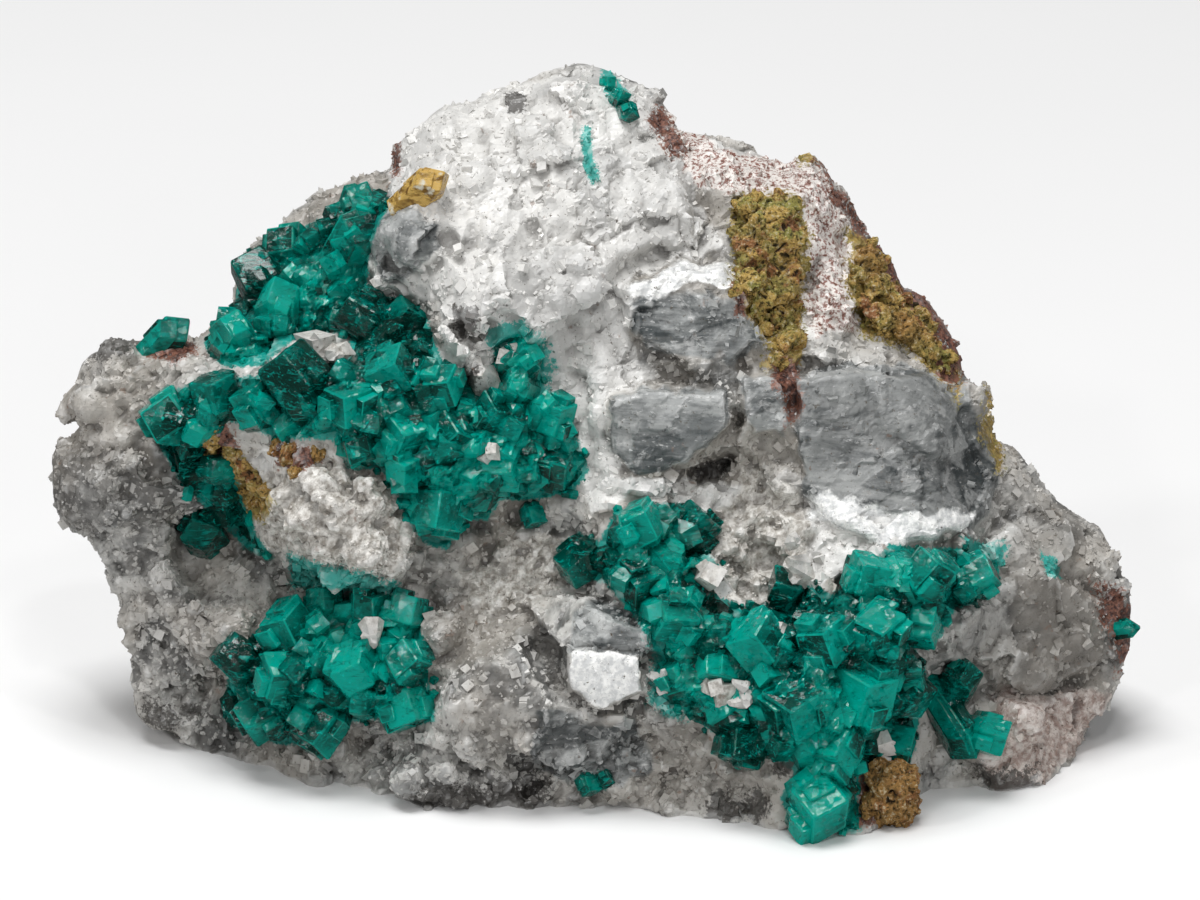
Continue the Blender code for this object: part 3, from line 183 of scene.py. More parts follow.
# Raised or sunk slabs of the face: outline, rise, width of the edge, how much calmer than the rubble the
# slab's own face is (1 is flat), and how the face tilts to the right and up.
SLABS = {
    "white_crest": ([(-17.1, 57.5), (-13.3, 60.8), (-3.3, 64.2), (3.3, 62.5), (5.5, 58), (7.7, 52.5),
                     (6.5, 49.5), (2.4, 48.8), (-3.3, 42.5), (-10, 39.2), (-12.5, 40.8), (-16.7, 45.8),
                     (-19, 46.7), (-19.3, 50.4), (-17.1, 52.1)], 2.6, 1.4, 0.0, 0, 0),
    "crest_lump": ([(-19.2, 51.2), (-17.1, 55.2), (-12.5, 54.5), (-13.2, 50.6), (-16.5, 48.2)],
                   1.8, 1.0, 0.3, 0, 0),
    "ridge_slab": ([(1.8, 45.7), (6.7, 47.7), (10.7, 47.9), (11.8, 45), (13.5, 41.3), (11.3, 39.8),
                    (7.5, 39.8), (4.2, 40.8), (2.7, 42.5)], 1.6, 1.0, 0.6, 0.05, 0.3),
    "grey_block": ([(0.8, 36.8), (3.3, 37.7), (10.2, 37.3), (10.8, 34.3), (8.5, 32.5), (6.8, 31.2),
                    (3.3, 30.7), (1.3, 32.5)], 2.6, 0.6, 0.9, 0.12, 0.16),
    "small_block": ([(11.5, 39), (15.2, 39), (15.7, 34.3), (12.3, 33.3)], 1.6, 0.7, 0.6, -0.1, 0.1),
    "dark_slab": ([(16, 38.5), (23.3, 39.3), (29.6, 38.5), (32.5, 35.2), (33.5, 30.8), (32.1, 26.7),
                   (27.5, 24.8), (21.8, 25.2), (17.9, 27.3), (16.3, 32.5)], 1.6, 1.0, 0.8, -0.04, 0.12),
    "dark_slab_step": ([(22.5, 39), (29.5, 38.4), (32.4, 35.2), (32.8, 33), (27.5, 32), (23, 34.5)],
                       1.0, 0.7, 0.4, 0.1, 0.1),
    "pale_ledge": ([(15.2, 26.7), (20.8, 27.3), (25.4, 24.6), (22.7, 23.3), (19.8, 21.7), (15.8, 22.3)],
                   1.2, 0.8, 0.4, 0, -0.1),
    "pearly_rhomb": ([(-2.8, 16.3), (3.3, 15.8), (3.5, 12.3), (0.7, 11.4), (-2.7, 12.5)],
                     2.4, 0.5, 0.95, 0.1, 0.1),
    "thin_slab": ([(-5.8, 19.8), (-1, 20.3), (0.2, 18.8), (3.8, 17.7), (4.2, 16), (-3.3, 16.5), (-5.3, 18.2)],
                  2.6, 0.6, 0.7, 0.1, 0.2),
    "round_block": ([(-13.1, 10.4), (-12.5, 13.3), (-10.4, 15.4), (-7.1, 16.5), (-4.6, 14.8), (-3.3, 11.7),
                     (-5, 7.9), (-10, 7.1)], 2.2, 1.5, 0.5, -0.08, 0.05),
    "corner_block": ([(-4.6, 11.7), (2.7, 10.8), (0.4, 6.3), (-5, 5.8)], 1.8, 0.9, 0.6, 0.05, 0.1),
    "foot_block": ([(-17, 8.5), (-12.5, 9), (-10.5, 6), (-12, 3.2), (-16.5, 4)], 1.4, 0.9, 0.4, -0.1, 0.1),
    "left_knob": ([(-47, 33), (-42.1, 33.3), (-38.8, 32.1), (-37.5, 30), (-34.2, 29.6), (-33.8, 27.9),
                   (-38.3, 26.7), (-40.8, 25.8), (-45.5, 25), (-47.5, 29.2)], 3.2, 1.3, 0.4, 0, 0),
    "left_barrel": ([(-46.3, 36.8), (-43.3, 38.3), (-40.8, 37.5), (-38.3, 34.2), (-39.2, 32.7),
                     (-42.3, 32.9), (-45.2, 35.4)], 2.4, 0.9, 0.6, 0, 0),
    "left_cap": ([(-44.6, 40.4), (-40.8, 42.4), (-37.5, 41.8), (-32.9, 40.8), (-32.5, 38.8), (-34.2, 37.1),
                  (-37.5, 35), (-39.6, 36.3), (-42.5, 38.3)], 2.4, 1.1, 0.5, 0, 0),
    "nodule_ledge": ([(-28.8, 26.7), (-26.7, 30), (-22.5, 30.8), (-18.3, 30), (-16.7, 26.7), (-15, 23.3),
                      (-17.1, 20.8), (-21.7, 21.7), (-25.8, 22.9), (-27.7, 23.8)], 1.4, 1.1, 0.0, 0, 0),
    "right_shoulder": ([(29.2, 19), (36.5, 22.5), (41.5, 20), (43.5, 15), (38, 12.5), (31, 12.5),
                        (28.5, 15.5)], 1.8, 1.2, 0.5, -0.05, 0.1),
    "right_foot": ([(31, 11.8), (38, 11.9), (43, 13.2), (42, 9), (37.5, 4.5), (33, 4.5), (31, 8)],
                   1.2, 1.0, 0.3, 0, 0),
    "recess": ([(-35.8, 26.7), (-30.8, 28.3), (-28.2, 23.3), (-22.5, 21.3), (-25, 19.2), (-29.2, 18.8),
                (-34.2, 20), (-36.3, 23.3)], -3.4, 1.5, 0.3, 0, 0),
    "crack": ([(7.5, 30.8), (11.3, 32.3), (10.4, 30.4), (8.3, 30)], -3.0, 0.6, 0, 0, 0),
    "dark_gap": ([(-6.2, 17), (-3.4, 16.2), (-2.9, 12.2), (-4.6, 13), (-6, 15)], -2.2, 0.6, 0, 0, 0),
    "groove": ([(-21.3, 8.8), (-13.3, 8.2), (-5, 6.7), (-3.3, 5.4), (-13.3, 6.3), (-20, 6.7)],
               -1.5, 0.9, 0, 0, 0),
    "arm_shadow": ([(25.4, 16.3), (28.3, 16.7), (29.2, 19), (31, 18), (28.5, 12.5), (27.3, 12.5)],
                   -2.0, 0.9, 0, 0, 0),
    "left_gap": ([(-36.9, 33.5), (-33.8, 33), (-31.5, 28.5), (-34.2, 29.6)], -2.2, 0.8, 0, 0, 0),
    "crest_gap": ([(-10.4, 42.3), (-7.5, 44), (-5.8, 42.3), (-7, 39.6), (-10, 39.5)], -1.0, 0.9, 0, 0, 0),
}

# Rounded lumps of quartz that stand on the face: u, v, radius, how far the middle stands out of the face.
NODULES = [
    (-26.4, 28.3, 1.5, 0.4), (-24.2, 27.1, 1.8, 0.6), (-21.3, 26.7, 1.6, 0.5), (-19.3, 24.3, 2.0, 0.8),
    (-22.5, 24.6, 1.7, 0.5), (-17.1, 23.3, 1.5, 0.5), (-21.7, 22.3, 1.6, 0.6), (8.8, 22.5, 1.5, 0.6),
    (13.3, 26.7, 1.6, 0.4), (11.3, 29.2, 1.8, 0.4), (18.3, 20.8, 1.5, 1.0), (15.4, 29.6, 1.6, 0.3),
    (-8.3, 5.8, 1.3, 0.5), (-5.8, 8.6, 1.4, 0.6), (-11, 8.2, 1.3, 0.4), (-7.9, 20.8, 1.4, 0.5),
    (-10, 21.7, 1.3, 0.4), (-34.5, 17.5, 1.7, 0.3), (-30.5, 17.8, 1.6, 0.3), (-36.8, 21.5, 1.6, 0.3),
    (-13.3, 17.5, 1.8, 0.4), (-11.3, 24.8, 1.6, 0.4), (-42.8, 36.3, 1.7, 0.5), (-40.6, 40.3, 1.8, 0.3),
    (-18.2, 12.3, 1.2, 0.2), (1.8, 4.8, 1.5, 0.3), (-15.8, 5.3, 1.4, 0.4), (35.5, 9.5, 1.9, 0.2),
    (-15.0, 49.6, 2.3, -1.4), (5.5, 57.8, 1.8, -0.6), (-5.5, 58.5, 2.2, -1.2), (-10.8, 54.2, 2.4, -1.2),
    (39.8, 16.5, 1.8, -1.0), (30.6, 36.5, 1.8, 0.2),
]

# The nodular stretches: outline and how many small grains stand on each.
NODULAR = [
    ([(-28.8, 26.7), (-26.7, 31), (-22.5, 32), (-18.3, 30), (-15, 23.3), (-17.1, 20.8), (-21.7, 21.7)], 60),
    ([(-41, 23), (-34, 20), (-31.5, 16), (-31.5, 8.5), (-38, 9.5), (-39.5, 15)], 90),
    ([(-14, 24), (-4, 28), (-3, 22), (-6, 20), (-13, 18)], 70),
    ([(-20, 8.5), (4, 7), (10, 8), (12, 2), (-20, 4)], 80),
    ([(8, 30), (14, 32), (18, 28), (16, 21), (9, 22)], 70),
    ([(-46, 38), (-34, 41), (-34, 36), (-40, 33), (-46, 33)], 50),
]

# Crusts of dioptase: the outline of each, and its own crystals: u, v, radius, length, lean right, lean up.
CRUSTS = {
    "dioptase_upper_left": {
        "outline": [(-30.6, 45), (-30.1, 47.7), (-29, 49.3), (-27.1, 50.4), (-25, 51), (-22.5, 52.1),
                    (-21.3, 53.8), (-19.3, 54.4), (-17.6, 53), (-18.6, 51.3), (-19.4, 49.2),
                    (-19.6, 45.8), (-20.7, 42.4), (-23.5, 42.5), (-25.8, 41.7), (-28.2, 39.6),
                    (-31.2, 39.6), (-32.4, 40.6), (-33, 41.5), (-31.8, 43.3)],
        "crystals": [(-27.6, 46.4, 2.5, 5.2, -0.9, 0.5), (-25.6, 48.9, 2.0, 4.6, -0.7, 0.7),
                     (-23.2, 46.0, 1.8, 6.4, 0.5, 0.9), (-21.2, 48.8, 1.9, 6.6, 0.5, 0.9),
                     (-20.4, 51.8, 1.7, 5.0, 0.4, 0.9), (-30.0, 41.6, 1.8, 4.2, -0.6, 0.5),
                     (-26.6, 43.2, 2.0, 5.6, -0.3, 0.9), (-22.0, 43.6, 1.8, 4.4, 0.3, -0.6)],
        "size": 1.5, "seed": 11,
    },
    "dioptase_left_band": {
        "outline": [(-37.1, 35.6), (-35.2, 37.3), (-32.1, 38.3), (-27.9, 38.5), (-25, 39.4), (-22.5, 38.6),
                    (-20.6, 40.8), (-20.4, 43.8), (-19.2, 45), (-16.7, 45), (-14.5, 43.3), (-13.5, 40.4),
                    (-11.5, 37.9), (-8.3, 36.9), (-8.6, 41), (-6.7, 42.2), (-4.8, 41.2), (-5, 37.1),
                    (-2.7, 35.6), (-2, 33.3), (-1.1, 30.8), (-2.3, 29.3), (-5, 28.6), (-8.3, 28.6),
                    (-9.4, 26.9), (-11.5, 26.8), (-12.8, 24.4), (-14.6, 24.9), (-15.7, 26.9),
                    (-16.7, 29.4), (-17.9, 31), (-20.7, 31.2), (-21.9, 33.5), (-26.7, 33.6),
                    (-30.8, 35.2), (-32.7, 33), (-30.5, 30.8), (-29.7, 28.3), (-29, 25.4), (-27.6, 23.5),
                    (-29.6, 24.2), (-32.1, 26.8), (-35, 30.2), (-36.9, 33.3)],
        "crystals": [(-24.8, 37.9, 2.9, 5.4, -0.3, 0.6), (-34.7, 35.0, 2.5, 5.6, -0.7, 0.2),
                     (-31.6, 36.7, 2.2, 4.6, -0.2, 0.5), (-33.2, 31.2, 2.0, 4.2, -0.6, -0.3),
                     (-19.3, 43.0, 2.3, 4.6, -0.4, 0.5), (-16.3, 42.6, 2.2, 4.2, 0.1, 0.4),
                     (-17.2, 38.6, 2.5, 5.0, 0.0, 0.2), (-13.4, 37.6, 2.0, 4.6, 0.3, 0.2),
                     (-20.7, 36.1, 2.3, 4.6, -0.1, 0.1), (-16.5, 34.2, 2.4, 5.0, 0.1, -0.1),
                     (-12.6, 33.6, 2.4, 4.6, 0.2, 0.1), (-13.2, 28.4, 2.6, 5.2, -0.1, -0.5),
                     (-8.6, 31.4, 2.5, 4.6, 0.3, -0.3), (-4.6, 31.6, 2.3, 4.6, 0.5, -0.1),
                     (-4.4, 35.0, 2.1, 4.2, 0.4, 0.4), (-8.9, 35.2, 2.0, 4.0, 0.2, 0.3),
                     (-6.8, 39.6, 1.7, 3.2, 0.1, 0.4), (-28.4, 36.2, 2.0, 4.4, -0.3, 0.1)],
        "size": 1.55, "seed": 12,
    },
    "dioptase_lower_cluster": {
        "outline": [(-31, 14.6), (-30.6, 16.2), (-28, 16.5), (-27.3, 18.6), (-25, 19.3), (-22.9, 20.6),
                    (-21.3, 20.2), (-17.9, 20), (-16.3, 20.2), (-15.2, 18.8), (-14.8, 16.7),
                    (-14.4, 13.3), (-13.8, 10.2), (-15.7, 9.7), (-18.8, 10.3), (-21.3, 9.9), (-22.9, 8.3),
                    (-26.7, 7.9), (-29.2, 8.7), (-31, 9.3), (-31.6, 10.9), (-31.2, 12.5)],
        "crystals": [(-29.6, 15.2, 2.0, 4.8, -0.6, 0.3), (-25.6, 17.2, 2.5, 5.2, -0.2, 0.4),
                     (-22.7, 19.2, 1.7, 4.2, -0.1, 0.7), (-19.3, 18.6, 1.8, 4.6, 0.2, 0.5),
                     (-16.5, 18.4, 1.9, 4.4, 0.5, 0.5), (-16.6, 11.8, 2.2, 4.8, 0.4, -0.5),
                     (-20.4, 14.2, 2.3, 5.0, 0.1, 0.0), (-23.3, 10.2, 2.6, 5.2, 0.0, -0.5),
                     (-27.6, 10.8, 2.4, 5.0, -0.4, -0.4), (-26.2, 13.8, 2.2, 4.8, -0.2, 0.0),
                     (-16.4, 15.2, 2.0, 4.6, 0.5, 0.0)],
        "size": 1.5, "seed": 13,
    },
    "dioptase_right_band": {
        "outline": [(-3.2, 24.6), (-1.8, 25.4), (0, 24.7), (1.2, 26.9), (3.3, 27.8), (6.7, 27.9),
                    (8.3, 26.3), (8.5, 24.2), (9.6, 22.9), (8, 22.1), (9.8, 20.3), (12.1, 19.1),
                    (14.2, 19.3), (15.5, 19.8), (14.4, 20.8), (14.6, 22.6), (15.8, 21.7), (19.2, 20.4),
                    (21.9, 22.5), (24, 24.6), (26.7, 24.2), (29.2, 24.2), (32.1, 23.9), (33.2, 22.9),
                    (32.9, 21), (30.8, 20), (29.2, 19.6), (28, 17.1), (25.4, 16.6), (26.8, 14.6),
                    (27.1, 12.5), (26.3, 10), (26.1, 7.7), (25, 6.7), (22.5, 6.8), (21, 4.4), (21.4, 1.2),
                    (18.1, 1.0), (16, 1.9), (15, 3.8), (16.2, 6.2), (14.2, 7.4), (10.4, 7), (10, 9),
                    (7.9, 10.4), (4.6, 12.7), (5, 14.8), (4.4, 16.7), (2.3, 19.8), (0.4, 21.8),
                    (-1.7, 22), (-3, 23)],
        "crystals": [(7.2, 25.6, 2.2, 4.8, 0.3, 0.5), (3.6, 25.6, 2.2, 4.6, 0.0, 0.5),
                     (-1.2, 23.4, 2.0, 4.6, -0.5, -0.2), (3.4, 21.4, 2.2, 4.6, -0.3, 0.0),
                     (6.6, 18.6, 2.4, 4.8, -0.3, -0.1), (9.4, 15.0, 2.2, 4.6, -0.2, -0.2),
                     (13.4, 16.6, 2.7, 5.0, -0.2, 0.2), (18.4, 16.4, 2.6, 5.2, 0.0, 0.3),
                     (22.4, 17.8, 2.5, 5.0, 0.1, -0.3), (22.4, 21.6, 2.3, 4.8, -0.1, 0.5),
                     (26.6, 22.0, 2.3, 4.8, 0.2, 0.4), (30.6, 22.0, 1.9, 4.4, 0.7, 0.1),
                     (26.2, 18.4, 2.0, 4.4, 0.4, -0.4), (16.4, 11.6, 3.0, 5.4, -0.2, -0.1),
                     (21.4, 12.2, 3.0, 5.4, 0.1, 0.1), (24.6, 12.6, 2.6, 5.2, 0.5, 0.1),
                     (12.0, 8.6, 2.1, 4.4, -0.3, -0.5), (19.2, 8.0, 2.4, 4.8, 0.0, -0.3),
                     (23.6, 8.4, 2.2, 4.6, 0.4, -0.2), (18.2, 3.6, 2.9, 5.4, -0.2, -0.4),
                     (15.8, 21.0, 1.8, 4.0, -0.4, 0.3)],
        "size": 1.55, "seed": 14,
    },
}

# Crystals and small groups that stand on the matrix by themselves.
GROUPS = {
    "dioptase_right_prisms": [(28.4, 11.2, 1.7, 8.6, 0.45, -0.86), (29.6, 12.4, 1.5, 5.6, 0.1, 0.7),
                              (31.8, 8.8, 1.8, 4.8, 0.6, -0.2)],
    "dioptase_recess_crystal": [(-33.2, 25.2, 2.1, 5.6, -0.35, 0.45)],
    "dioptase_left_edge_crystal": [(-36.8, 41.2, 1.7, 4.8, 0.75, 0.5)],
    "dioptase_ledge_crystal": [(-5.4, 27.2, 1.2, 3.4, 0.0, -0.4)],
    "dioptase_foot_crystals": [(-1.0, 4.9, 1.1, 2.8, 0.0, -0.2), (0.1, 5.1, 0.8, 2.4, 0.4, 0.2)],
    "dioptase_crest_crystals": [(1.6, 61.7, 0.8, 2.6, 0.2, 0.4), (2.2, 60.7, 0.9, 2.4, 0.3, -0.2),
                                (0.8, 62.9, 0.7, 2.2, -0.2, 0.5)],
    "dioptase_edge_crystal": [(44.2, 17.4, 0.9, 1.9, 0.8, 0.0)],
}

# Iron oxide: porous crusts on the upper right.
LIMONITE_CRUSTS = {
    "limonite_upper_crust": [(11.1, 53.4), (13.8, 53.8), (16.5, 53), (17.1, 50), (16.5, 45), (17, 41.2),
                             (15.6, 39.8), (14.2, 40.4), (12.9, 43.3), (11, 45), (11.8, 49.2), (11, 51.7)],
    "limonite_ridge_crust": [(21.1, 50.2), (22.4, 49.6), (24, 46.3), (26.4, 44.2), (28.2, 41.7),
                             (29.2, 39.6), (29.3, 37.8), (28.6, 39), (26.3, 39.8), (24.2, 42.3),
                             (22, 42.7), (21, 45.8)],
}

# How rusty each of those crusts is, from 0 to 1.
EMBERS = {"limonite_upper_crust": 0.1, "limonite_ridge_crust": 0.45}

# The balls of the lump at the foot: u, v, h and radius.
LIMONITE_LUMP = [(24.2, 4.9, 12.2, 2.1), (24.5, 3.2, 11.2, 1.9), (23.1, 3.0, 12.0, 1.6),
                 (23.2, 5.6, 12.4, 1.5)]

# Small porous stains left of the middle, and how rusty each is.
STAIN_CRUSTS = [
    ([(-33.4, 34.4), (-31.3, 34.6), (-30, 32.6), (-28.6, 31), (-27.4, 28), (-28, 26.6), (-29.6, 27.2),
      (-30.2, 30), (-32, 32.2)], 0.45),
    ([(-26.8, 32.8), (-24.4, 32.8), (-23.2, 32), (-25, 30.4), (-26.3, 30.9)], 0.85),
]

# The stained quartz: u, v, radius, length, lean right, lean up.
STAINED_QUARTZ = (-15.0, 53.5, 1.5, 5.2, 0.72, 0.42)

# Where each colour of the rock shows: outlines on the face, each with the width of its soft edge.
ZONES = {
    "white": [
        ([(-17.5, 55.8), (-16.7, 59.2), (-13.3, 61.7), (-8.3, 63.3), (-0.8, 65.6), (3.3, 63.6), (5.2, 60),
          (6.7, 57.5), (8.3, 54.2), (10, 49.2), (7.5, 48.2), (3.3, 46.6), (2.8, 45.4), (2.6, 41.3),
          (4.2, 38.3), (0.8, 37.1), (-0.8, 34.2), (-4, 35.8), (-6.5, 42), (-8.3, 42.1), (-12.5, 43.3),
          (-14.2, 45), (-17.9, 45.8), (-19.6, 48.3), (-19, 52.1)], 1.6),
        ([(3, 60.5), (7, 59), (12, 58), (16, 56.5), (19, 55), (20, 51), (17.5, 52), (16, 54), (11.5, 54),
          (8, 54.5), (6, 57)], 1.6),
        ([(16.8, 53), (20.5, 51.5), (21, 46), (20, 42.5), (17.2, 41.8), (17.4, 46)], 1.2),
        ([(-2.1, 34.2), (0, 36.7), (2, 30.8), (8.3, 30), (13.3, 30.8), (16.7, 28.3), (16.7, 23.3),
          (14.2, 21), (10, 23.3), (8.3, 27.5), (3.3, 28.8), (-0.8, 27.5), (-1.3, 30)], 1.6),
        ([(-21.5, 44.2), (-23, 43.6), (-25, 42), (-24.5, 40.6), (-21.2, 41.5)], 0.8),
        ([(-28.5, 31.8), (-26, 33.2), (-22, 33), (-20, 30), (-21, 26), (-25, 24.6), (-27.5, 26.4)], 1.4),
        ([(14.5, 27), (21, 27.3), (26, 24.6), (24, 24.2), (21, 22), (17.5, 21), (15, 22)], 1.0),
        ([(-14, 44.5), (-7, 44), (-6.4, 37), (-10, 35.4), (-12.8, 38)], 1.0),
    ],
    "slate": [
        ([(16, 38.5), (23.3, 39.5), (29.6, 38.5), (32.5, 35.2), (33.5, 30.8), (32.1, 26.7), (27.5, 24.8),
          (21.8, 25.2), (17.9, 27.3), (16.3, 32.5)], 1.4),
        (SLABS["grey_block"][0], 0.8),
        ([(2, 45), (5, 45.6), (9, 45.4), (12.8, 43), (13.3, 41.3), (11.3, 39.8), (7.5, 39.8), (4.2, 40.8),
          (2.7, 42.5)], 1.4),
        (SLABS["small_block"][0], 1.2),
        ([(-3, 16.3), (-1, 20), (3, 19.8), (4.2, 18), (3.5, 15.8)], 1.4),
        ([(-5.5, 10.5), (2.5, 10), (4.5, 6), (0.4, 4.6), (-5, 5.4)], 1.6),
        ([(-19.5, 52.2), (-17, 53.6), (-13.5, 51.5), (-13.5, 48.6), (-16.5, 46.8), (-19.5, 48.5)], 1.4),
    ],
    "frost": [
        ([(17.5, 27.3), (18, 29.5), (24, 27.5), (28, 27), (31, 27.5), (31, 26), (27, 24.6),
          (22, 25.4)], 1.2),
        ([(2.2, 45.4), (6.5, 48), (11, 48), (11.8, 45.6), (8, 46.4), (4, 45)], 0.8),
        ([(-2.5, 16.2), (3, 15.7), (3.3, 12.4), (0.6, 11.6), (-2.6, 12.7)], 0.6),
    ],
    "cream": [
        ([(8, 24.5), (12, 31.5), (17, 29), (17.5, 23), (15, 20), (9, 20.5)], 2.2),
        ([(-28, 30.5), (-22, 32), (-17, 30), (-15, 25), (-18, 20.5), (-24, 21.5), (-28, 24.5)], 2.0),
        ([(-12, 22), (-4, 26), (0, 24), (-3, 20.5), (-10, 19)], 2.0),
    ],
    "pink": [
        ([(33, 12), (38, 12.5), (43.5, 12), (42, 7), (37, 4.6), (33, 3.5), (31.5, 7)], 2.0),
    ],
    "speckled": [
        ([(5, 61.5), (8, 58.5), (12.5, 57.5), (15, 57.5), (18.5, 56.5), (20.5, 53.5), (20.5, 50.5),
          (18, 50), (17.2, 53.5), (13, 54), (9, 54), (5.5, 57.5)], 1.4),
        ([(17.2, 52), (21, 51), (21.8, 46.5), (21.4, 43), (18.6, 42.2), (16.8, 45)], 1.6),
    ],
    "dim": [
        ([(17, 38), (23.3, 38.8), (29.6, 38), (32, 35.2), (33, 30.8), (31.6, 27.2), (27.5, 25.6),
          (21.8, 26), (18.6, 28), (17.2, 32.5)], 1.2),
        ([(-47, 33), (-42, 33.3), (-37.5, 30), (-34, 29.6), (-34, 27.9), (-40.8, 25.8), (-45.5, 25),
          (-47.5, 29.2)], 1.4),
        ([(29, 20), (34, 24), (38, 23.5), (42, 20), (44.5, 15), (38, 12.2), (30, 12), (28, 15)], 2.0),
        ([(34, 30), (37, 28.5), (41, 25), (38, 23.5), (34, 25), (31.5, 27)], 1.6),
    ],
    "ochre": [
        ([(10.8, 53.6), (14, 54.4), (17, 53.4), (17.6, 50), (17.2, 45), (17.4, 40.6), (15.8, 38.4),
          (13.8, 40), (12.4, 43.3), (10.7, 45), (11.4, 49.2), (10.6, 51.7)], 1.0),
        ([(20.6, 50.6), (22.4, 50.2), (24.4, 46.4), (26.8, 44.4), (28.8, 41.7), (30, 39.6), (30, 36.6),
          (28.4, 38.6), (26.2, 39.4), (24, 41.8), (21.6, 42.2), (20.6, 45.8)], 1.0),
        ([(32.3, 38), (33.5, 36), (33.8, 31), (33, 31), (32.3, 34)], 0.8),
        ([(-33.8, 34.6), (-31.3, 34.8), (-30, 32.6), (-28.6, 31), (-27.2, 28), (-28, 26.2), (-29.8, 27),
          (-30.4, 30), (-32.5, 32.4)], 0.7),
        ([(16.2, 57.8), (18, 58), (18.8, 56.6), (16.6, 56.2)], 0.6),
    ],
    "rust": [
        ([(-33.6, 34.4), (-30.6, 34.8), (-29.8, 32.8), (-31.6, 32)], 0.7),
        ([(-26.9, 33), (-24.4, 33), (-23, 32), (-25, 30.2), (-26.4, 30.8)], 0.8),
        ([(-38.8, 41.6), (-34, 41.4), (-32.8, 40.3), (-35, 39.6), (-38.3, 40.4)], 0.8),
        ([(4.5, 61.8), (6, 60), (7.4, 57.4), (6, 56.8), (4.4, 59.6)], 0.7),
        ([(14.8, 40.5), (16.6, 40), (16.8, 36), (15.4, 34.8), (14.6, 37.8)], 0.8),
        ([(24.4, 44.4), (27.6, 42.8), (29.6, 40), (29.6, 37.6), (27, 40)], 0.8),
        ([(18.6, 57), (21, 54.4), (22, 52), (24, 49.4), (25.6, 46), (27.4, 45.6), (29.4, 43),
          (30.8, 40.6), (31.6, 38), (30, 38), (28.4, 41.8), (26, 44), (24, 46.6), (22, 50),
          (19.4, 53.6)], 1.0),
        ([(10.9, 46.5), (12, 46), (12.2, 43.6), (11, 43.6)], 0.6),
        ([(-17.3, 58.6), (-16.7, 58.6), (-16.6, 55.6), (-17.4, 55.4)], 0.5),
        ([(21.2, 6.6), (22.6, 6.2), (22.8, 1.6), (21.6, 1.6)], 0.8),
        ([(41, 22), (44.6, 20), (45.2, 15), (44, 13.6), (43, 16), (42, 19.5)], 1.2),
    ],
    # dark: black specks of the rock, and painted shadow along the foot and in crevices such as the crack
    # under the grey block.
    "dark": [
        ([(-12.4, 44.5), (-10.2, 44.4), (-9.8, 42), (-11.8, 41.6)], 0.35),
        ([(-11.6, 39.4), (-9.9, 39.4), (-9.4, 37.2), (-11.2, 37)], 0.35),
        ([(-8.1, 62.6), (-6.3, 62.5), (-6.3, 60.9), (-7.9, 60.8)], 0.35),
        ([(8.6, 3.6), (10, 4.3), (11.6, 3.3), (13.2, 4.3), (14.4, 3.2), (13.4, 1.6), (11.6, 2.2),
          (10.2, 1.0), (8.8, 1.9)], 0.7),
        ([(14.2, 7), (15.8, 6.9), (16, 5.7), (14.5, 5.6)], 0.5),
        ([(30.8, 6.2), (36.8, 6), (36, 3), (32, 3)], 1.2),
        ([(-38.8, 11.6), (-35.8, 9.4), (-36.8, 8.2), (-39.4, 9.8)], 1.0),
        ([(-35.6, 10.9), (-33.8, 10.9), (-33.8, 9.8), (-35.6, 9.8)], 0.5),
        ([(-15, 4.5), (-4, 4.6), (-4, 2), (-15, 2.4)], 1.2),
        ([(-44.9, 41), (-41, 42), (-38, 41.9), (-40, 40.4), (-43.6, 39.6)], 0.8),
        ([(8.0, 31), (10.8, 31.8), (10.0, 30.4), (8.6, 30.2)], 0.4),
    ],
    "shade": [
        ([(-41, 24), (-35, 25), (-30, 21), (-22, 20), (-14, 23), (-12, 17), (-13.5, 9), (-20, 7), (-28, 5),
          (-36, 7), (-41, 12)], 3.0),
        ([(-14, 12), (-4, 14), (6, 10), (14, 6), (14, 0), (-14, 1)], 3.0),
        ([(-46, 34), (-40, 34), (-36, 30), (-38, 25), (-46, 25)], 2.5),
    ],
    "film": [
        ([(2.8, 20.6), (5.8, 19.6), (8.4, 13.4), (7.2, 9.8), (4.2, 11.2), (4.2, 15)], 1.2),
        ([(-8.6, 42.2), (-6, 43.2), (-4, 42), (-4.2, 36.8), (-8.6, 36.4)], 0.9),
        ([(-1.6, 59.4), (-0.9, 59.4), (-0.6, 56.4), (0, 54.8), (-0.6, 54.2), (-1.4, 56)], 0.4),
        ([(0, 64.6), (0.8, 64.7), (2.2, 62.6), (3.1, 60.6), (2.3, 60.2), (1, 61.6)], 0.4),
        ([(-1.8, 5.8), (0.6, 5.8), (0.6, 4.6), (-1.6, 4.4)], 0.6),
        ([(30, 25.2), (34, 24.4), (34, 23), (31, 22.6)], 0.7),
        ([(-26.5, 24), (-17, 21.6), (-17, 20.6), (-26, 21)], 0.7),
        ([(36.4, 24), (38, 23.2), (38.4, 21.6), (37, 22)], 0.5),
    ],
}
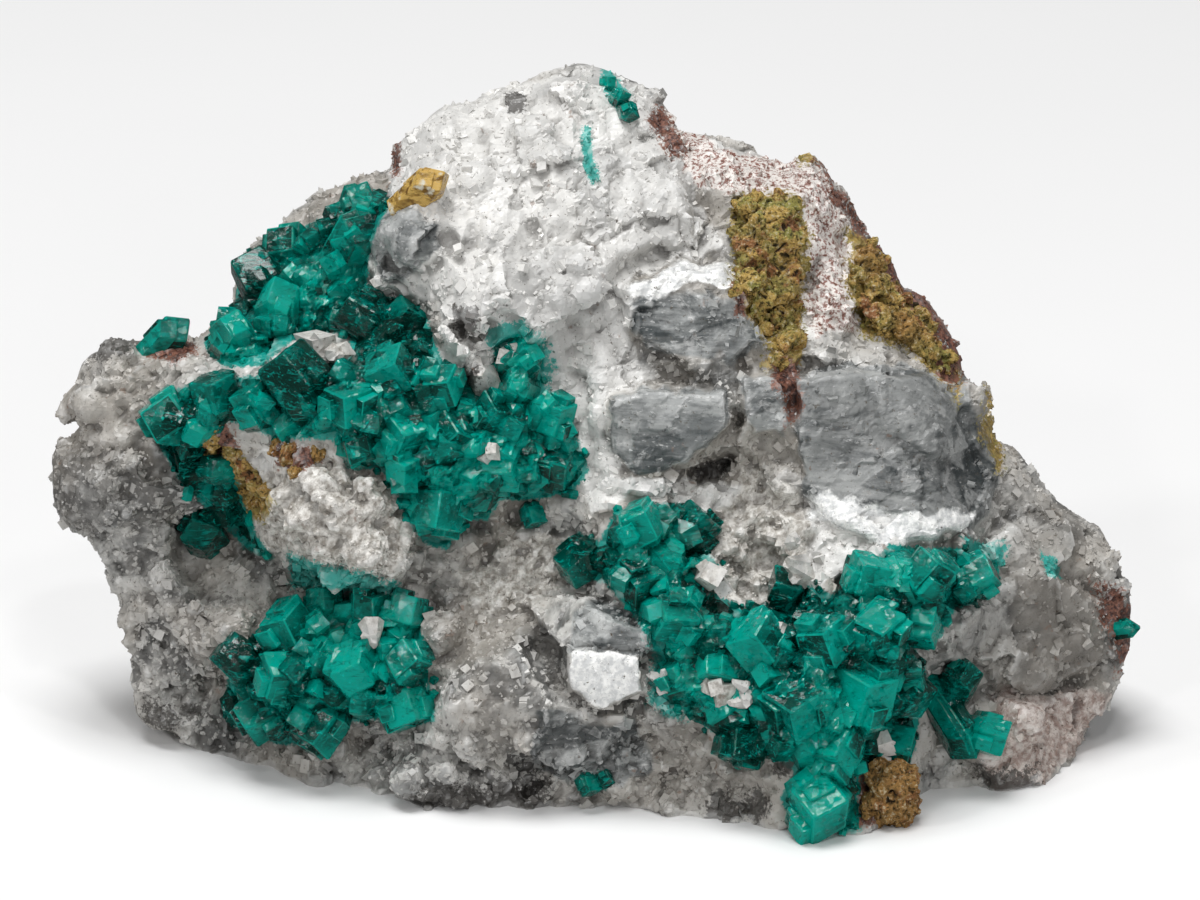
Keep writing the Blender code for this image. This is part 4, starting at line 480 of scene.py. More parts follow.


# Where the dioptase is deep and dark, its own depth of colour with painted shade, and where it is thin and
# bright, its own paler colour with painted highlight.
DEEP_AND_SHADED = [
    [(-21, 37.2), (-21, 42), (-15, 42), (-15, 37.2)],
    [(-28, 36.6), (-27, 40), (-22.5, 39.6), (-21.6, 36.4), (-24, 35.4)],
    [(-37.3, 29.7), (-37.3, 36.3), (-34, 36.3), (-33.5, 30)],
    [(-31, 45.2), (-30, 50), (-27.4, 51), (-27.6, 45.4)],
    [(-25, 40.2), (-24.6, 44.4), (-20.4, 44.8), (-20.2, 41)],
    [(-35.5, 23), (-35.5, 27.5), (-31, 27.5), (-31, 23)],
    [(26, 12.9), (29.4, 12.8), (31, 6.7), (28.4, 6.5)],
    [(11.6, 15.2), (11.8, 18.6), (15.8, 18.8), (16, 15.4)],
    [(13.6, 19.6), (13.8, 23.6), (18.2, 23.6), (18.2, 19.8)],
    [(-31.6, 14.2), (-31.6, 16.8), (-28.4, 16.8), (-28.4, 14.2)],
    [(-29.4, 7), (-29, 10.4), (-21.8, 10.4), (-21.8, 7.4)],
    [(-21, 41.6), (-20.6, 45.2), (-14.2, 45.2), (-13, 41.6), (-16, 40.4)],
    [(-3.6, 22), (-3.6, 25.6), (0, 25), (1, 22)],
    [(8.6, 6.6), (8.6, 10.2), (14, 10.2), (14, 6.8)],
    [(15.4, 14.8), (24, 15.8), (26, 14.6), (24, 13.6), (16, 13.6)],
]
BRIGHT_AND_LIT = [
    [(-1.5, 65), (4.5, 65), (4.5, 59), (-1.5, 59)],
    [(-22, 54.6), (-18.2, 54.6), (-21.4, 49), (-26, 43.6), (-31, 39.6), (-34, 39.4), (-30, 43.6),
     (-24.6, 49)],
    [(-17.8, 24), (-17.6, 30.6), (-8.6, 30.6), (-8.6, 26), (-12, 23.4)],
    [(-9, 36), (-9, 43), (-4, 43), (-3.6, 36)],
    [(30.6, 7.4), (30.6, 12.2), (33.4, 12.2), (33.4, 7.4)],
    [(-34, 33.6), (-20.6, 35.8), (-20, 32.2), (-27, 31.4)],
    [(3, 9.6), (3, 21.4), (6, 19), (9, 12.6), (8, 9.6)],
    [(15, 7), (18, 12), (24, 11), (24, 7), (20, 5)],
    [(20, 22), (26, 25.4), (33.6, 24), (33.6, 21), (26, 20.4)],
    [(2, 25), (3, 28.6), (8, 28.4), (8, 25)],
    [(-26, 15), (-24, 20.6), (-15, 20.6), (-14, 14)],
]

# White quartz that stands through the crusts: u, v, radius and how far the middle stands out of the rock.
INCLUSIONS = [
    (-9.3, 31.9, 1.0, 2.2), (-18.8, 17.2, 1.1, 2.6), (10.3, 12.4, 1.5, 2.0), (8.6, 13.0, 1.0, 2.0),
    (23.3, 8.3, 1.1, 2.6), (16.1, 22.9, 1.4, 1.7), (9.0, 22.2, 1.3, 1.2), (4.6, 13.8, 0.8, 1.6),
    (-23.5, 41.0, 1.6, 0.6), (-21.9, 40.3, 1.3, 0.7), (14.6, 17.9, 0.7, 3.2),
    (-9.8, 38.6, 1.7, 1.4), (-7.6, 40.2, 0.9, 1.2), (12.0, 12.2, 1.0, 2.4),
]


def floor_height():
    """The height that puts the foot of the face on the floor."""
    return -(FOOT[1] * math.cos(LEAN) + FOOT[2] * math.sin(LEAN))


def face_to_world(u, v, h):
    """Millimetres in the face's frame to metres in the upright frame."""
    y = v * math.sin(LEAN) - h * math.cos(LEAN)
    z = v * math.cos(LEAN) + h * math.sin(LEAN) + floor_height()
    return np.stack([u * MM, y * MM, z * MM], axis=-1)


def world_to_face(points):
    """Metres in the upright frame (N, 3) to u, v and h in millimetres."""
    x, y, z = points.T / MM
    z = z - floor_height()
    return x, y * math.sin(LEAN) + z * math.cos(LEAN), z * math.sin(LEAN) - y * math.cos(LEAN)


def direction(right, up, out):
    """A direction of the face's frame in the upright frame."""
    y = up * math.sin(LEAN) - out * math.cos(LEAN)
    return Vector((right, y, up * math.cos(LEAN) + out * math.sin(LEAN)))


OUT = direction(0, 0, 1)
PARTING = Vector(face_to_world(*CENTRE, PARTING_LEVEL))


def smooth(x):
    """0 below 0, 1 above 1 and a smooth step between them."""
    x = np.clip(x, 0, 1)
    return x * x * (3 - 2 * x)


def inside_distance(points, outline):
    """How far each point (N, 2) lies inside the outline; negative outside it."""
    outline = np.asarray(outline, float)
    nearest = np.full(len(points), FAR)
    inside = np.zeros(len(points), bool)
    x, y = points[:, 0], points[:, 1]
    for (ax, ay), (bx, by) in zip(outline, np.roll(outline, -1, axis=0)):
        ex, ey = bx - ax, by - ay
        t = np.clip(((x - ax) * ex + (y - ay) * ey) / (ex * ex + ey * ey), 0, 1)
        nearest = np.minimum(nearest, (x - ax - t * ex) ** 2 + (y - ay - t * ey) ** 2)
        slope = ex / (ey if abs(ey) > 1e-9 else 1e-9)
        inside ^= ((ay > y) != (by > y)) & (x < slope * (y - ay) + ax)
    return np.where(inside, 1, -1) * np.sqrt(nearest)


def lattice(ix, iy, iz, seed):
    """A repeatable random number from 0 to 1 for each lattice point."""
    n = np.sin(ix * 127.1 + iy * 311.7 + iz * 74.7 + seed * 53.3) * 43758.5453
    return n - np.floor(n)


def lumps(points, size, seed):
    """Rounded cobbles of about that size: 1 at the middle of each, 0 in the joints between them."""
    p = points / size
    cell = np.floor(p)
    first = np.full(len(p), 9.0)
    second = np.full(len(p), 9.0)
    for dx in (-1, 0, 1):
        for dy in (-1, 0, 1):
            for dz in (-1, 0, 1):
                near = cell + (dx, dy, dz)
                spot = np.stack([near[:, k] + lattice(*near.T, seed + k) for k in range(3)], axis=-1)
                gap = np.linalg.norm(spot - p, axis=1)
                second = np.minimum(second, np.maximum(first, gap))
                first = np.minimum(first, gap)
    return smooth((second - first) * 1.6)


def broken_faces(points, size, seed):
    """Broken crystal faces of about that size, each flat and tilted at random.

    Returns their height, from about -1 to 1, and a random number from 0 to 1 for each face.
    """
    p = points / size
    cell = np.floor(p)
    nearest = np.full(len(p), 9.0)
    height = np.zeros(len(p))
    tone = np.zeros(len(p))
    for dx in (-1, 0, 1):
        for dy in (-1, 0, 1):
            for dz in (-1, 0, 1):
                near = cell + (dx, dy, dz)
                spot = np.stack([near[:, k] + lattice(*near.T, seed + k) for k in range(3)], axis=-1)
                lean = np.stack([lattice(*near.T, seed + 3 + k) - 0.5 for k in range(3)], axis=-1)
                rise = 2.4 * (lean * (p - spot)).sum(axis=1) + 0.7 * (lattice(*near.T, seed + 6) - 0.5)
                gap = np.linalg.norm(spot - p, axis=1)
                height = np.where(gap < nearest, rise, height)
                tone = np.where(gap < nearest, lattice(*near.T, seed + 8), tone)
                nearest = np.minimum(nearest, gap)
    return height, tone


def facets(points, size, seed):
    """The height of broken_faces alone."""
    return broken_faces(points, size, seed)[0]


def waves(points, size, seed):
    """Smooth noise from -1 to 1 with features of about that size."""
    p = points / size
    cell = np.floor(p)
    f = smooth(p - cell)
    total = np.zeros(len(p))
    for dx in (0, 1):
        for dy in (0, 1):
            for dz in (0, 1):
                weight = (f[:, 0] if dx else 1 - f[:, 0]) * (f[:, 1] if dy else 1 - f[:, 1])
                weight = weight * (f[:, 2] if dz else 1 - f[:, 2])
                total += weight * lattice(*(cell + (dx, dy, dz)).T, seed)
    return total * 2 - 1


def lowered_outline():
    """The outline with its foot drawn down below the floor, so that the cut and not the rim ends it."""
    outline = np.array(OUTLINE, float)
    outline[:, 1] -= FOOT_DROP * smooth((FOOT_TOP - outline[:, 1]) / FOOT_BLEND)
    return outline


def broad_form(u, v):
    """The broad height of the face, a blend of the nearest FORM points."""
    total = np.zeros(len(u))
    weights = np.full(len(u), 1e-12)
    for fu, fv, height in FORM:
        weight = np.exp(-((u - fu) ** 2 + (v - fv) ** 2) / (2 * FORM_REACH**2))
        total += weight * height
        weights += weight
    return total / weights


def front_height(u, v):
    """How far the face stands out at (u, v), before its rim is rounded."""
    flat = np.stack([u, v, np.zeros(len(u))], axis=-1)
    height = broad_form(u, v)
    rubble = 1.1 * facets(flat, 5.6, 60) + 0.5 * facets(flat, 2.8, 70)
    rubble += 0.7 * lumps(flat, 4.4, 3) + 0.4 * lumps(flat, 2.1, 4) - 0.55 + 0.6 * waves(flat, 6.0, 5)
    points = strayed(u, v, 0.6)
    for outline, rise, edge, calm, right, up in SLABS.values():
        share = smooth(inside_distance(points, outline) / edge + 0.5)
        middle = np.mean(outline, axis=0)
        height += share * (rise + right * (u - middle[0]) + up * (v - middle[1]))
        rubble *= 1 - calm * share
    return height + rubble


def back_height(u, v):
    """How far back the rear of the stone lies, as a height of the face's frame (negative)."""
    flat = np.stack([u, v, np.full(len(u), 50.0)], axis=-1)
    depth = np.min([level + right * u + up * (v - 20) for level, right, up in BACK_PLANES], axis=0)
    depth += 1.8 * lumps(flat, 12.0, 8) + 0.6 * lumps(flat, 5.0, 9) + 0.8 * waves(flat, 9.0, 10)
    return (v * math.sin(LEAN) - depth) / math.cos(LEAN)


def shape_stone(directions):
    """Moves the points of a unit ball, whose +Z faces out of the face, onto the stone. Returns metres."""
    outline = lowered_outline() - CENTRE
    angles = np.arctan2(outline[:, 1], outline[:, 0])
    order = np.argsort(angles)
    angles, radii = angles[order], np.hypot(*outline.T)[order]
    turn = np.arctan2(directions[:, 1], directions[:, 0])
    reach = np.interp(turn, angles, radii, period=2 * math.pi)
    share = np.arccos(np.clip(np.abs(directions[:, 2]), 0, 1)) / (math.pi / 2)
    u = CENTRE[0] + np.cos(turn) * share * reach
    v = CENTRE[1] + np.sin(turn) * share * reach
    depth = np.maximum(inside_distance(np.stack([u, v], axis=-1), lowered_outline()), 0)
    front = directions[:, 2] >= 0
    rounding = np.where(front, FRONT_ROUNDING, BACK_ROUNDING)
    rise = np.sqrt(1 - (1 - np.clip(depth / rounding, 0, 1)) ** 2)
    target = np.where(front, front_height(u, v), back_height(u, v))
    return face_to_world(u, v, RIM_LEVEL + (target - RIM_LEVEL) * rise)


def faded(h, fade):
    """1 on the showing side and 0 behind it, by a level and the depth over which it fades."""
    return smooth((h - fade[0]) / fade[1])


def points_of(mesh):
    """A mesh's points (N, 3), in metres."""
    points = np.empty(len(mesh.vertices) * 3, np.float32)
    mesh.vertices.foreach_get("co", points)
    return points.reshape(-1, 3).astype(float)


def normals_of(mesh):
    """The directions that a mesh's points face (N, 3)."""
    normals = np.empty(len(mesh.vertices) * 3, np.float32)
    mesh.vertex_normals.foreach_get("vector", normals)
    return normals.reshape(-1, 3).astype(float)


def triangle_mesh(name, points, faces):
    """A mesh of triangles from its points and faces, shaded flat."""
    mesh = bpy.data.meshes.new(name)
    mesh.vertices.add(len(points))
    mesh.vertices.foreach_set("co", np.asarray(points, np.float32).ravel())
    mesh.loops.add(len(faces) * 3)
    mesh.loops.foreach_set("vertex_index", np.asarray(faces, np.int32).ravel())
    mesh.polygons.add(len(faces))
    mesh.polygons.foreach_set("loop_start", np.arange(0, len(faces) * 3, 3, dtype=np.int32))
    mesh.update(calc_edges=True)
    mesh.validate()
    mesh.shade_flat()
    return mesh


def add_object(name, mesh):
    """A new object of a mesh, in the scene."""
    made = bpy.data.objects.new(name, mesh)
    bpy.context.scene.collection.objects.link(made)
    return made


def set_number(mesh, name, values):
    """Stores one number for each vertex, for the materials to read."""
    made = mesh.attributes.new(name, "FLOAT", "POINT")
    made.data.foreach_set("value", np.asarray(values, np.float32))


def settle(obj):
    """Applies an object's modifiers."""
    graph = bpy.context.evaluated_depsgraph_get()
    mesh = bpy.data.meshes.new_from_object(obj.evaluated_get(graph))
    obj.modifiers.clear()
    obj.data = mesh
    return obj


def tones_of(mesh):
    """The numbers that a gathered mesh carries as "tone"."""
    tones = np.empty(len(mesh.vertices), np.float32)
    mesh.attributes["tone"].data.foreach_get("value", tones)
    return tones


def voxel_remesh(obj, size):
    """Fuses an object's bodies into one even mesh with cells of that size, in millimetres."""
    fuse = obj.modifiers.new("fuse", "REMESH")
    fuse.mode = "VOXEL"
    fuse.voxel_size = size * MM
    return settle(obj)


def template(build):
    """The points and triangles of a small shape that a function builds in a bmesh."""
    bm = bmesh.new()
    build(bm)
    bmesh.ops.triangulate(bm, faces=bm.faces[:])
    points = np.array([vert.co[:] for vert in bm.verts])
    faces = np.array([[vert.index for vert in face.verts] for face in bm.faces])
    bm.free()
    return points, faces


def sides_of(bm):
    """Parts a shape's faces from each other.

    Returns the number of each point's face, or -1 on a narrow edge face.
    """
    bmesh.ops.split_edges(bm, edges=bm.edges[:])
    bm.faces.index_update()
    own = [vert.link_faces[0] for vert in bm.verts]
    return np.array([face.index if face.calc_area() > EDGE_AREA else -1 for face in own])


def prism_template(length, bevel):
    """A dioptase crystal of radius 1: a six-sided prism with three rhombic faces at its tip.

    A bevelled one also returns the number of each point's face, for faces of different tones.
    """
    sides = []

    def build(bm):
        bmesh.ops.create_cone(bm, cap_ends=True, segments=6, radius1=1, radius2=1, depth=length)
        top = max(bm.faces, key=lambda face: face.calc_center_median().z)
        corners = list(top.verts)
        apex = bmesh.ops.poke(bm, faces=[top])["verts"][0]
        apex.co.z += TIP_STEEPNESS
        for corner in corners[::2]:
            corner.co.z -= TIP_STEEPNESS
        bmesh.ops.dissolve_limit(bm, angle_limit=0.05, verts=bm.verts[:], edges=bm.edges[:])
        if bevel:
            bmesh.ops.bevel(bm, geom=bm.edges[:], offset=bevel, segments=1, affect="EDGES", profile=0.6)
            sides.append(sides_of(bm))

    return *template(build), *sides


def grain_template(kind):
    """A small quartz or calcite grain of radius 1: a chunky block with odd corners."""
    random = np.random.default_rng(100 + kind)

    def build(bm):
        if kind % 2:
            bmesh.ops.create_cone(bm, cap_ends=True, segments=6, radius1=0.9, radius2=0.35, depth=1.6)
        else:
            bmesh.ops.create_cube(bm, size=1.3)
        for vert in bm.verts:
            vert.co *= random.uniform(0.8, 1.2)
            vert.co.x += 0.25 * vert.co.z

    return template(build)


def turned(axes, spins):
    """Rotation matrices (N, 3, 3) whose third column is each axis, spun about it."""
    z = axes / np.linalg.norm(axes, axis=1)[:, None]
    helper = np.where(np.abs(z[:, :1]) < 0.9, [[1.0, 0, 0]], [[0, 1.0, 0]])
    x = np.cross(helper, z)
    x /= np.linalg.norm(x, axis=1)[:, None]
    y = np.cross(z, x)
    cos, sin = np.cos(spins)[:, None], np.sin(spins)[:, None]
    return np.stack([x * cos + y * sin, y * cos - x * sin, z], axis=-1)


class Heap:
    """Many small shapes gathered into one mesh."""

    def __init__(self):
        self.points, self.faces, self.tones, self.count = [], [], [], 0

    def add(self, shape, places, axes, spins, scales, tones):
        """Copies of a template at each place (metres), scaled (millimetres, one number or three for each)."""
        points, faces = shape
        scales = np.asarray(scales, float)
        scales = np.broadcast_to(scales[:, None] if scales.ndim == 1 else scales, (len(places), 3))
        local = points[None] * scales[:, None, :] * MM
        world = np.einsum("nij,nkj->nki", turned(np.asarray(axes), np.asarray(spins)), local)
        world += np.asarray(places)[:, None, :]
        offsets = self.count + np.arange(len(places))[:, None, None] * len(points)
        self.points.append(world.reshape(-1, 3))
        self.faces.append((faces[None] + offsets).reshape(-1, 3))
        self.tones.append(np.repeat(tones, len(points)))
        self.count += len(places) * len(points)

    def add_shape(self, points, faces, tone):
        """One shape as it is, its points in metres; its tone is one number or one for each point."""
        self.points.append(points)
        self.faces.append(faces + self.count)
        self.tones.append(np.broadcast_to(tone, len(points)))
        self.count += len(points)

    def mesh(self, name):
        """All the shapes as one mesh, which carries their tones."""
        made = triangle_mesh(name, np.concatenate(self.points), np.concatenate(self.faces))
        set_number(made, "tone", np.concatenate(self.tones))
        return made


def strayed(u, v, reach):
    """Points (N, 2) of the face, each moved a little and its neighbours alike, to make outlines ragged."""
    flat = np.stack([u, v, np.full(len(u), 20.0)], axis=-1)
    right = 0.65 * waves(flat, 2.6, 81) + 0.35 * waves(flat, 0.9, 82)
    up = 0.65 * waves(flat, 2.6, 83) + 0.35 * waves(flat, 0.9, 84)
    return np.stack([u + reach * right, v + reach * up], axis=-1)


def zone_share(name, u, v, h):
    """How much of a colour zone each point is in, from 0 to 1, on the showing side only."""
    points = np.stack([u, v], axis=-1)
    stray = strayed(u, v, 1.0) - points
    share = np.zeros(len(u))
    for outline, edge in ZONES[name]:
        moved = points + min(1.5, 1.2 * edge) * stray
        share = np.maximum(share, smooth(inside_distance(moved, outline) / (2 * edge) + 0.5))
    return share * faded(h, COLOUR_FADE)


def crust_share(u, v, h, reach):
    """How much each point lies under a dioptase crust, whose edge is moved out by reach."""
    points = np.stack([u, v], axis=-1)
    share = np.zeros(len(u))
    for crust in CRUSTS.values():
        share = np.maximum(share, smooth((inside_distance(points, crust["outline"]) + reach) / 1.2 + 0.5))
    return share * faded(h, COLOUR_FADE)


def paint(mesh):
    """Stores on a mesh how much of each colour zone its points are in."""
    u, v, h = world_to_face(points_of(mesh))
    for name in ZONES:
        set_number(mesh, name, zone_share(name, u, v, h))
    set_number(mesh, "teal", crust_share(u, v, h, 0.2))


def hollow_of(mesh, rounds=5):
    """How deep each point lies in a hollow, in millimetres; negative on a ridge."""
    points = points_of(mesh)
    edges = np.empty(len(mesh.edges) * 2, np.int32)
    mesh.edges.foreach_get("vertices", edges)
    a, b = edges.reshape(-1, 2).T
    number = np.maximum(np.bincount(a, minlength=len(points)) + np.bincount(b, minlength=len(points)), 1)
    soft = points.copy()
    for _ in range(rounds):
        total = np.stack([np.bincount(a, soft[b, k], len(points)) + np.bincount(b, soft[a, k], len(points))
                          for k in range(3)], axis=-1)
        soft = total / number[:, None]
    return ((soft - points) * normals_of(mesh)).sum(axis=1) / MM


def store_hollows(mesh):
    """Stores how deep each point lies, for the materials to paint shade into hollows and light onto ridges.
    """
    set_number(mesh, "hollow", hollow_of(mesh))


def pushed_out(mesh, height):
    """A mesh's points, each moved out along its normal by its height in millimetres."""
    return points_of(mesh) + normals_of(mesh) * (height * MM)[:, None]


def set_points(mesh, points):
    """Moves a mesh's points to new places, in metres."""
    mesh.vertices.foreach_set("co", points.astype(np.float32).ravel())
    mesh.update()


def cut_at_floor(mesh):
    """Cuts a mesh flat at the floor and closes the cut."""
    bm = bmesh.new()
    bm.from_mesh(mesh)
    geometry = bm.verts[:] + bm.edges[:] + bm.faces[:]
    bmesh.ops.bisect_plane(bm, geom=geometry, dist=1e-7, plane_co=(0, 0, 0), plane_no=(0, 0, -1),
                           clear_outer=True)
    open_edges = [edge for edge in bm.edges if edge.is_boundary]
    bmesh.ops.holes_fill(bm, edges=open_edges, sides=0)
    bmesh.ops.triangulate(bm, faces=[face for face in bm.faces if len(face.verts) > 4])
    bm.to_mesh(mesh)
    bm.free()


def tree_of(mesh):
    """A search tree of a mesh, for surface."""
    bm = bmesh.new()
    bm.from_mesh(mesh)
    tree = BVHTree.FromBMesh(bm)
    bm.free()
    return tree


def surface(tree, u, v):
    """Where the rock's face lies at (u, v), and which way it faces, in metres."""
    start = Vector(face_to_world(float(u), float(v), RAY_START))
    place, normal, _, _ = tree.ray_cast(start, -OUT)
    return place, normal


def sphere_template(level):
    """A ball of radius 1 with that many divisions."""
    return template(lambda bm: bmesh.ops.create_icosphere(bm, subdivisions=level, radius=1.0))


def build_rock():
    """The host rock: the shaped ball with its nodules, fused, roughened and cut at the floor."""
    directions, faces = sphere_template(ROCK_BALL)
    directions /= np.linalg.norm(directions, axis=1)[:, None]
    stone = shape_stone(directions)
    tree = tree_of(triangle_mesh("ball", stone, faces))
    heap = Heap()
    heap.add_shape(stone, faces, 0.0)
    places, radii = [], []
    for u, v, radius, stand in NODULES + small_nodules():
        place, _ = surface(tree, u, v)
        if place:
            places.append(np.array(place + OUT * stand * MM))
            radii.append(radius)
    up = np.tile((0.0, 0.0, 1.0), (len(radii), 1))
    none = np.zeros(len(radii))
    heap.add(sphere_template(3), np.array(places), up, none, np.array(radii), none)
    rock = voxel_remesh(add_object("rock", heap.mesh("rock")), ROCK_VOXEL)
    roughen(rock.data)
    cut_at_floor(rock.data)
    rock.data.shade_flat()
    return rock


def small_nodules():
    """Grape-like quartz grains on the nodular stretches of the face."""
    random = np.random.default_rng(31)
    spots = []
    for outline, number in NODULAR:
        outline = np.array(outline)
        low, high = outline.min(axis=0), outline.max(axis=0)
        tried = low + random.random((number * 3, 2)) * (high - low)
        inside = tried[inside_distance(tried, outline) > 0][:number]
        spots += [(u, v, random.uniform(0.45, 1.15), random.uniform(-0.1, 0.3)) for u, v in inside]
    return spots


def calm_share(u, v, h):
    """How smooth the rock is at each point, from 0 (sugary or nodular) to nearly 1 (a cleavage face)."""
    flat = np.stack([u, v], axis=-1)
    calm = np.zeros(len(u))
    for outline, _, edge, share, _, _ in SLABS.values():
        inside = smooth(inside_distance(flat, outline) / edge + 0.5)
        calm = np.maximum(calm, max(0, 1.6 * share - 0.6) * inside)
    return calm * faded(h, CALM_FADE)


def roughen(mesh):
    """Works finer relief into the rock: broken faces, rounded grains and, on slabs, the steps of cleavage.

    It stores how light each broken face is, as "facet".
    """
    u, v, h = world_to_face(points_of(mesh))
    calm = calm_share(u, v, h)
    round_share = np.clip(0.8 * zone_share("shade", u, v, h) + zone_share("cream", u, v, h), 0, 1)
    millimetres = points_of(mesh) / MM
    wide, wide_tone = broken_faces(millimetres, 3.4, 21)
    small, small_tone = broken_faces(millimetres, 1.3, 31)
    great, great_tone = broken_faces(millimetres, 6.5, 71)
    broken = 0.5 * great + 0.3 * wide + 0.06 * small
    rounded = 0.45 * (lumps(millimetres, 1.9, 41) - 0.6) + 0.14 * (lumps(millimetres, 0.85, 45) - 0.5)
    grain = broken * (1 - 0.7 * round_share) + rounded * round_share + 0.03 * waves(millimetres, 0.7, 49)
    layers = np.stack([u * 0.2 + v * 0.5, v * 0.9 - u * 0.15, h * 1.2], axis=-1)
    steps, step_tone = broken_faces(layers, 0.9, 52)
    chips, chip_tone = broken_faces(millimetres, 4.6, 62)
    height = grain * (1 - 0.92 * calm) + (0.07 * steps + 0.2 * chips) * calm
    rubble_tone = 0.45 * great_tone + 0.35 * wide_tone + 0.2 * small_tone
    slab_tone = 0.3 * step_tone + 0.7 * chip_tone
    set_points(mesh, pushed_out(mesh, height))
    set_number(mesh, "facet", rubble_tone * (1 - calm) + slab_tone * calm)


def scatter_on(mesh, number, density, seed):
    """Random places on a mesh and their normals, more of them where density, a number per vertex, is high."""
    random = np.random.default_rng(seed)
    mesh.calc_loop_triangles()
    faces = np.empty(len(mesh.loop_triangles) * 3, np.int32)
    mesh.loop_triangles.foreach_get("vertices", faces)
    faces = faces.reshape(-1, 3)
    points = points_of(mesh)
    corners = points[faces]
    cross = np.cross(corners[:, 1] - corners[:, 0], corners[:, 2] - corners[:, 0])
    area = np.linalg.norm(cross, axis=1)
    weight = area * density[faces].mean(axis=1)
    chosen = random.choice(len(faces), number, p=weight / weight.sum())
    a, b = random.random((2, number))
    a, b = np.where(a + b > 1, 1 - a, a), np.where(a + b > 1, 1 - b, b)
    picked = corners[chosen]
    first = picked[:, 0]
    places = first + (picked[:, 1] - first) * a[:, None] + (picked[:, 2] - first) * b[:, None]
    return places, cross[chosen] / np.maximum(area[chosen], 1e-12)[:, None]


def grain_density(mesh):
    """How thickly grains stand at each point: most on the face's rubble, least on slabs and the rear."""
    u, v, h = world_to_face(points_of(mesh))
    above = smooth(points_of(mesh)[:, 2] / MM / 1.5)
    clear = 1 - crust_share(u, v, h, 0.3)
    rubble = 0.8 - 0.45 * zone_share("white", u, v, h) + 0.6 * zone_share("shade", u, v, h)
    rough = 1 - smooth(2 * calm_share(u, v, h))
    return above * clear * (0.12 + faded(h, GRAIN_FADE) * rubble * rough)


def build_grains(rock):
    """The sugary druse: small quartz and calcite grains that stand in the rock's surface."""
    density = grain_density(rock.data)
    pieces = []
    for part, (number, low, high) in enumerate(GRAINS):
        places, normals = scatter_on(rock.data, number, density, 41 + part)
        random = np.random.default_rng(51 + part)
        heap = Heap()
        kinds = random.integers(0, GRAIN_KINDS, number)
        axes = normals + random.normal(0, 0.55, (number, 3))
        spins = random.uniform(0, math.tau, number)
        sizes = random.uniform(low, high, number)
        tones = random.random(number)
        for kind in range(GRAIN_KINDS):
            own = kinds == kind
            round_ones = np.ones(own.sum())
            stretch = np.stack([round_ones, round_ones, random.uniform(0.7, 1.4, own.sum())], axis=-1)
            sunk = places[own] - normals[own] * (GRAIN_SINK * sizes[own] * MM)[:, None]
            scales = sizes[own][:, None] * stretch
            heap.add(grain_template(kind), sunk, axes[own], spins[own], scales, tones[own])
        name = f"quartz_grains_{part + 1}"
        pieces.append(add_object(name, heap.mesh(name)))
    return pieces


def scatter(random, outline, size, taken, margin, stray=0.0):
    """Spots (u, v, size) inside an outline, clear of those taken, from the largest to the smallest.

    The outline is made ragged by stray, and each spot lies at least margin inside it.
    """
    outline = np.array(outline)
    low, high = outline.min(axis=0), outline.max(axis=0)
    spots = []
    for scale in np.linspace(1.25, 0.7, 400):
        spot = low + random.random(2) * (high - low)
        radius = size * scale
        if inside_distance(strayed(spot[:1], spot[1:], stray), outline)[0] < margin:
            continue
        if all(math.dist(spot, other[:2]) > PACKING * (radius + other[2]) for other in [*taken, *spots]):
            spots.append((spot[0], spot[1], radius))
    return spots


PRISMS = {length: prism_template(length, CRYSTAL_BEVEL) for length in CRYSTAL_LENGTHS}
DRUSE_PRISMS = [prism_template(length, 0) for length in DRUSE_LENGTHS]


def add_crystal(heap, random, tree, row, spin, seat=SEAT, twins=3):
    """One main crystal with smaller ones in the same orientation that step out of its faces."""
    u, v, radius, length, right, up = row
    place, normal = surface(tree, u, v)
    out = math.sqrt(max(LEAST_OUT**2, 1 - right * right - up * up))
    axis = (direction(right, up, out) + FOLLOW * normal).normalized()
    place = place + axis * seat * length * MM
    ratio = min(PRISMS, key=lambda known: abs(known - length / radius))
    points, faces, sides = PRISMS[ratio]
    tone = random.random()
    turn = axis.to_track_quat("Z", "Y").to_matrix() @ Matrix.Rotation(spin, 3, "Z")
    rows = [(place, radius, length)]
    for _ in range(twins):
        share = random.uniform(0.45, 0.75)
        angle = random.integers(0, 6) * math.tau / 6 + random.normal(0, 0.06)
        offset = Vector((math.cos(angle), math.sin(angle), 0)) * radius * (1.0 - share * 0.7)
        rise = 0.5 * length * (1 - share) + radius * random.uniform(-0.5, 0.12)
        rows.append((place + turn @ (offset + Vector((0, 0, rise))) * MM, radius * share, length * share))
    for spot, wide, tall in rows:
        warp = [waves(points + 9.0 * random.random(), 0.8, seed) for seed in (1, 2, 3)]
        shape = (points + FACE_WARP * np.stack(warp, axis=-1)) * (wide, wide, tall / ratio) * MM
        shades = tone + random.normal(0, 0.1) + random.normal(0, FACE_CONTRAST, sides.max() + 1)[sides]
        # Painted highlight: the narrow edge faces are lighter.
        shades = np.where(sides < 0, tone + EDGE_HIGHLIGHT, shades)
        heap.add_shape(shape @ np.array(turn).T + np.array(spot), faces, np.clip(shades, 0, 1))


